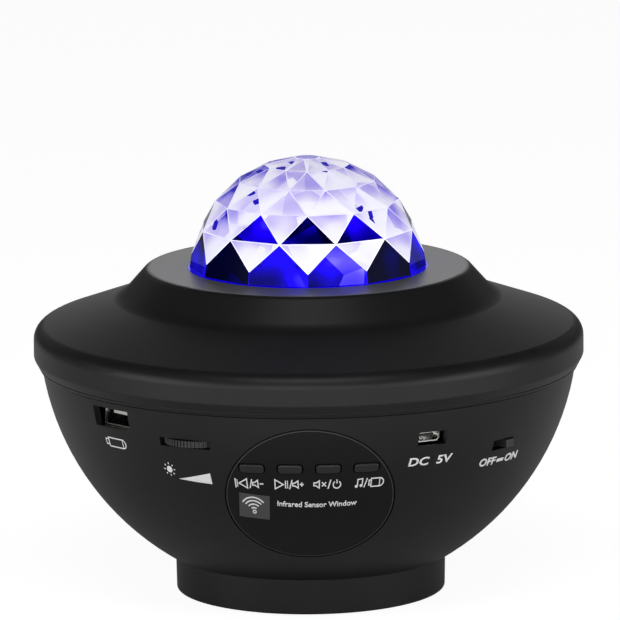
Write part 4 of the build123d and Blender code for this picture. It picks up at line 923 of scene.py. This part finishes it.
key_z = 47.4
for name, drawing, x, height in (
    ("key_symbols_1", previous_or_quieter, -17.8, key_z),
    ("key_symbols_2", play_or_louder, -6.1, key_z),
    ("key_symbols_3", mute_or_power, 5.7, key_z),
    ("key_symbols_4", music_or_stick, 16.9, key_z),
    ("sensor_symbol", receiver, -16.3, 37.9),
    ("sensor_lettering", sensor_words, 1.95, 40.5),
):
    print_on_skin(name, drawing, level_place(x, height), panel_sunk)
print_on_skin("panel_line", panel_line, level_place(0, panel_z), panel_sunk, grey_ink)
for name, drawing, azimuth, height in (
    ("sun_symbol", sun, -33.3, 50.1),
    ("brightness_wedge", wedge, -27.2, 48.0),
    ("stick_symbol", memory_stick, -47.8, 55.8),
    ("supply_lettering", supply_words, 27.6, 52.8),
    ("switch_lettering", off_and_on, 48.8, 49.1),
):
    print_on_skin(name, drawing, skin_place(azimuth, height))

# ================================================================ floor, light and camera
floor_half = 2.2
floor_shown = 1.3           # so that the floor reads white away from the shadow
floor_glow = 0.72           # share of the camera's view of the floor that takes no shadow
backdrop_shown = 1.06       # brightness of the backdrop above it
ambient_share = 0.5         # of the backdrop's brightness, for the light that it gives
strip_height = 0.08         # a bright strip ahead, this high as the upward part of a direction
span_inputs = ("Value", "From Min", "From Max", "To Min", "To Max")

floor_data = bpy.data.meshes.new("floor")
floor_corners = [(x * floor_half, y * floor_half, 0) for x, y in ((-1, -1), (1, -1), (1, 1), (-1, 1))]
floor_data.from_pydata(floor_corners, [], [(0, 1, 2, 3)])
floor = mesh_object("floor", floor_data)
floor_finish, tree = new_material("pale_floor")
seen_by = add(tree, "ShaderNodeLightPath").outputs
mixed = {"Fac": seen_by["Is Camera Ray"], "Color1": colour("#c4c4c4"), "Color2": colour("#ffffff")}
paper = add(tree, "ShaderNodeMixRGB", mixed)
matt = add(tree, "ShaderNodeBsdfDiffuse", {"Color": paper.outputs[0]})
glow = add(tree, "ShaderNodeEmission", {"Color": colour("#ffffff"), "Strength": floor_shown})
place = add(tree, "ShaderNodeTexCoord").outputs["Object"]
spot = add(tree, "ShaderNodeSeparateXYZ", {0: place}).outputs
aside = add(tree, "ShaderNodeMath", {0: spot["X"]}, operation="ABSOLUTE").outputs[0]
# Its own glow is stronger close to the camera and to both sides of the lamp.
near, flank = (
    add(tree, "ShaderNodeMapRange", dict(zip(span_inputs, span))).outputs[0]
    for span in ((spot["Y"], -0.55, -0.1, 1.3, 0.1), (aside, 0.05, 0.15, 0.0, 0.24))
)
seen = add(tree, "ShaderNodeMath", {0: seen_by["Is Camera Ray"], 1: floor_glow}, operation="MULTIPLY")
for least in (near, flank):
    seen = add(tree, "ShaderNodeMath", {0: seen.outputs[0], 1: least}, operation="MAXIMUM")
blend = {0: seen.outputs[0], 1: matt.outputs[0], 2: glow.outputs[0]}
finish_material(tree, add(tree, "ShaderNodeMixShader", blend))
floor_data.materials.append(floor_finish)

world = bpy.data.worlds.new("studio")
bpy.context.scene.world = world
world.use_nodes = True
tree = world.node_tree
tree.nodes.clear()
seen_by = add(tree, "ShaderNodeLightPath").outputs
direction = add(tree, "ShaderNodeTexCoord").outputs["Generated"]
parts = add(tree, "ShaderNodeSeparateXYZ", {0: direction}).outputs
sideways = add(tree, "ShaderNodeMath", {0: parts["X"]}, operation="ABSOLUTE").outputs[0]
off_strip = add(tree, "ShaderNodeMath", {0: parts["Z"], 1: strip_height}, operation="SUBTRACT").outputs[0]
off_strip = add(tree, "ShaderNodeMath", {0: off_strip}, operation="ABSOLUTE").outputs[0]
# How bright the backdrop is along a direction: what it goes by, from where to where, and the
# brightness at both.
spans = {
    "high": (parts["Z"], 0.1, 0.7, 1.0, 0.2),
    "behind": (parts["Y"], 0.5, 0.92, 0.1, 2.5),
    "lifted": (parts["Z"], 0.08, 0.24, 0.15, 1.0),
    "narrow": (sideways, 0.02, 0.2, 1.0, 0.12),
    "beside": (sideways, 0.6, 0.95, 0.0, 0.15),
    "strip": (off_strip, 0.03, 0.09, 4.0, 0.0),
    "ahead": (parts["Y"], -0.5, 0.0, 1.0, 0.0),
}
values = {
    name: add(tree, "ShaderNodeMapRange", dict(zip(span_inputs, span))).outputs[0]
    for name, span in spans.items()
}
values.update(
    camera=seen_by["Is Camera Ray"],
    through=seen_by["Is Transmission Ray"],
    glossy=seen_by["Is Glossy Ray"],
    shown=backdrop_shown,
    share=ambient_share,
    one=1.0,
)
# Polished surfaces see the backdrop by its parts, the camera sees it plain, and what it sheds on
# the lamp is a share of it. Each line makes one more value out of two.
for name, operation, first, second in (
    ("behind", "MULTIPLY", "behind", "lifted"),
    ("behind", "MULTIPLY", "behind", "narrow"),
    ("around", "MAXIMUM", "behind", "beside"),
    ("strip", "MULTIPLY", "strip", "ahead"),
    ("around", "MAXIMUM", "around", "strip"),
    ("backdrop", "MULTIPLY", "high", "around"),
    ("sheen", "MULTIPLY", "glossy", "backdrop"),
    ("plain", "MAXIMUM", "camera", "through"),
    ("white", "MULTIPLY", "plain", "shown"),
    ("seen", "MAXIMUM", "white", "sheen"),
    ("ambient", "MULTIPLY", "backdrop", "share"),
    ("special", "MAXIMUM", "plain", "glossy"),
    ("unseen", "SUBTRACT", "one", "special"),
    ("shed", "MULTIPLY", "ambient", "unseen"),
    ("strength", "ADD", "seen", "shed"),
):
    both = {0: values[first], 1: values[second]}
    values[name] = add(tree, "ShaderNodeMath", both, operation=operation).outputs[0]
shine = add(tree, "ShaderNodeBackground", {"Color": colour("#ffffff"), "Strength": values["strength"]})
add(tree, "ShaderNodeOutputWorld", {"Surface": shine.outputs[0]})

lamp_middle = Vector((0, 0, 0.07))


def softbox(name, place, size, power):
    """Soft area light that faces the middle of the lamp."""
    data = bpy.data.lights.new(name, "AREA")
    data.shape = "RECTANGLE"
    data.size, data.size_y = size
    data.energy = power
    made = bpy.data.objects.new(name, data)
    bpy.context.scene.collection.objects.link(made)
    made.location = place
    aim = lamp_middle - Vector(place)
    made.rotation_euler = aim.to_track_quat("-Z", "Y").to_euler()


softbox("left_softbox", (-1.1, -0.45, 0.25), (0.9, 0.5), 2.6)
softbox("right_softbox", (1.1, -0.4, 0.25), (0.9, 0.5), 2.8)
softbox("front_softbox", (-0.2, -1.8, 0.5), (1.2, 0.4), 3.5)
softbox("overhead_softbox", (0.0, -0.8, 1.3), (1.0, 0.6), 5.0)

# A long lens on the eye line, square to the control panel.
view_distance = 2.5
view_width = 0.186          # what the picture spans at that distance
aim_x = 0.0005
aim_z = 0.085
camera_roll = radians(-0.55)
lens = bpy.data.cameras.new("camera")
lens.sensor_width = 36.0
lens.lens = lens.sensor_width * view_distance / view_width
lens.clip_end = 20.0
camera = bpy.data.objects.new("camera", lens)
bpy.context.scene.collection.objects.link(camera)
camera.location = (aim_x, -view_distance * cos(eye_line), aim_z + view_distance * sin(eye_line))
tilt = Matrix.Rotation(pi / 2 - eye_line, 3, "X")
camera.rotation_euler = (tilt @ Matrix.Rotation(camera_roll, 3, "Z")).to_euler()
bpy.context.scene.camera = camera
bpy.context.scene.view_settings.view_transform = "Standard"
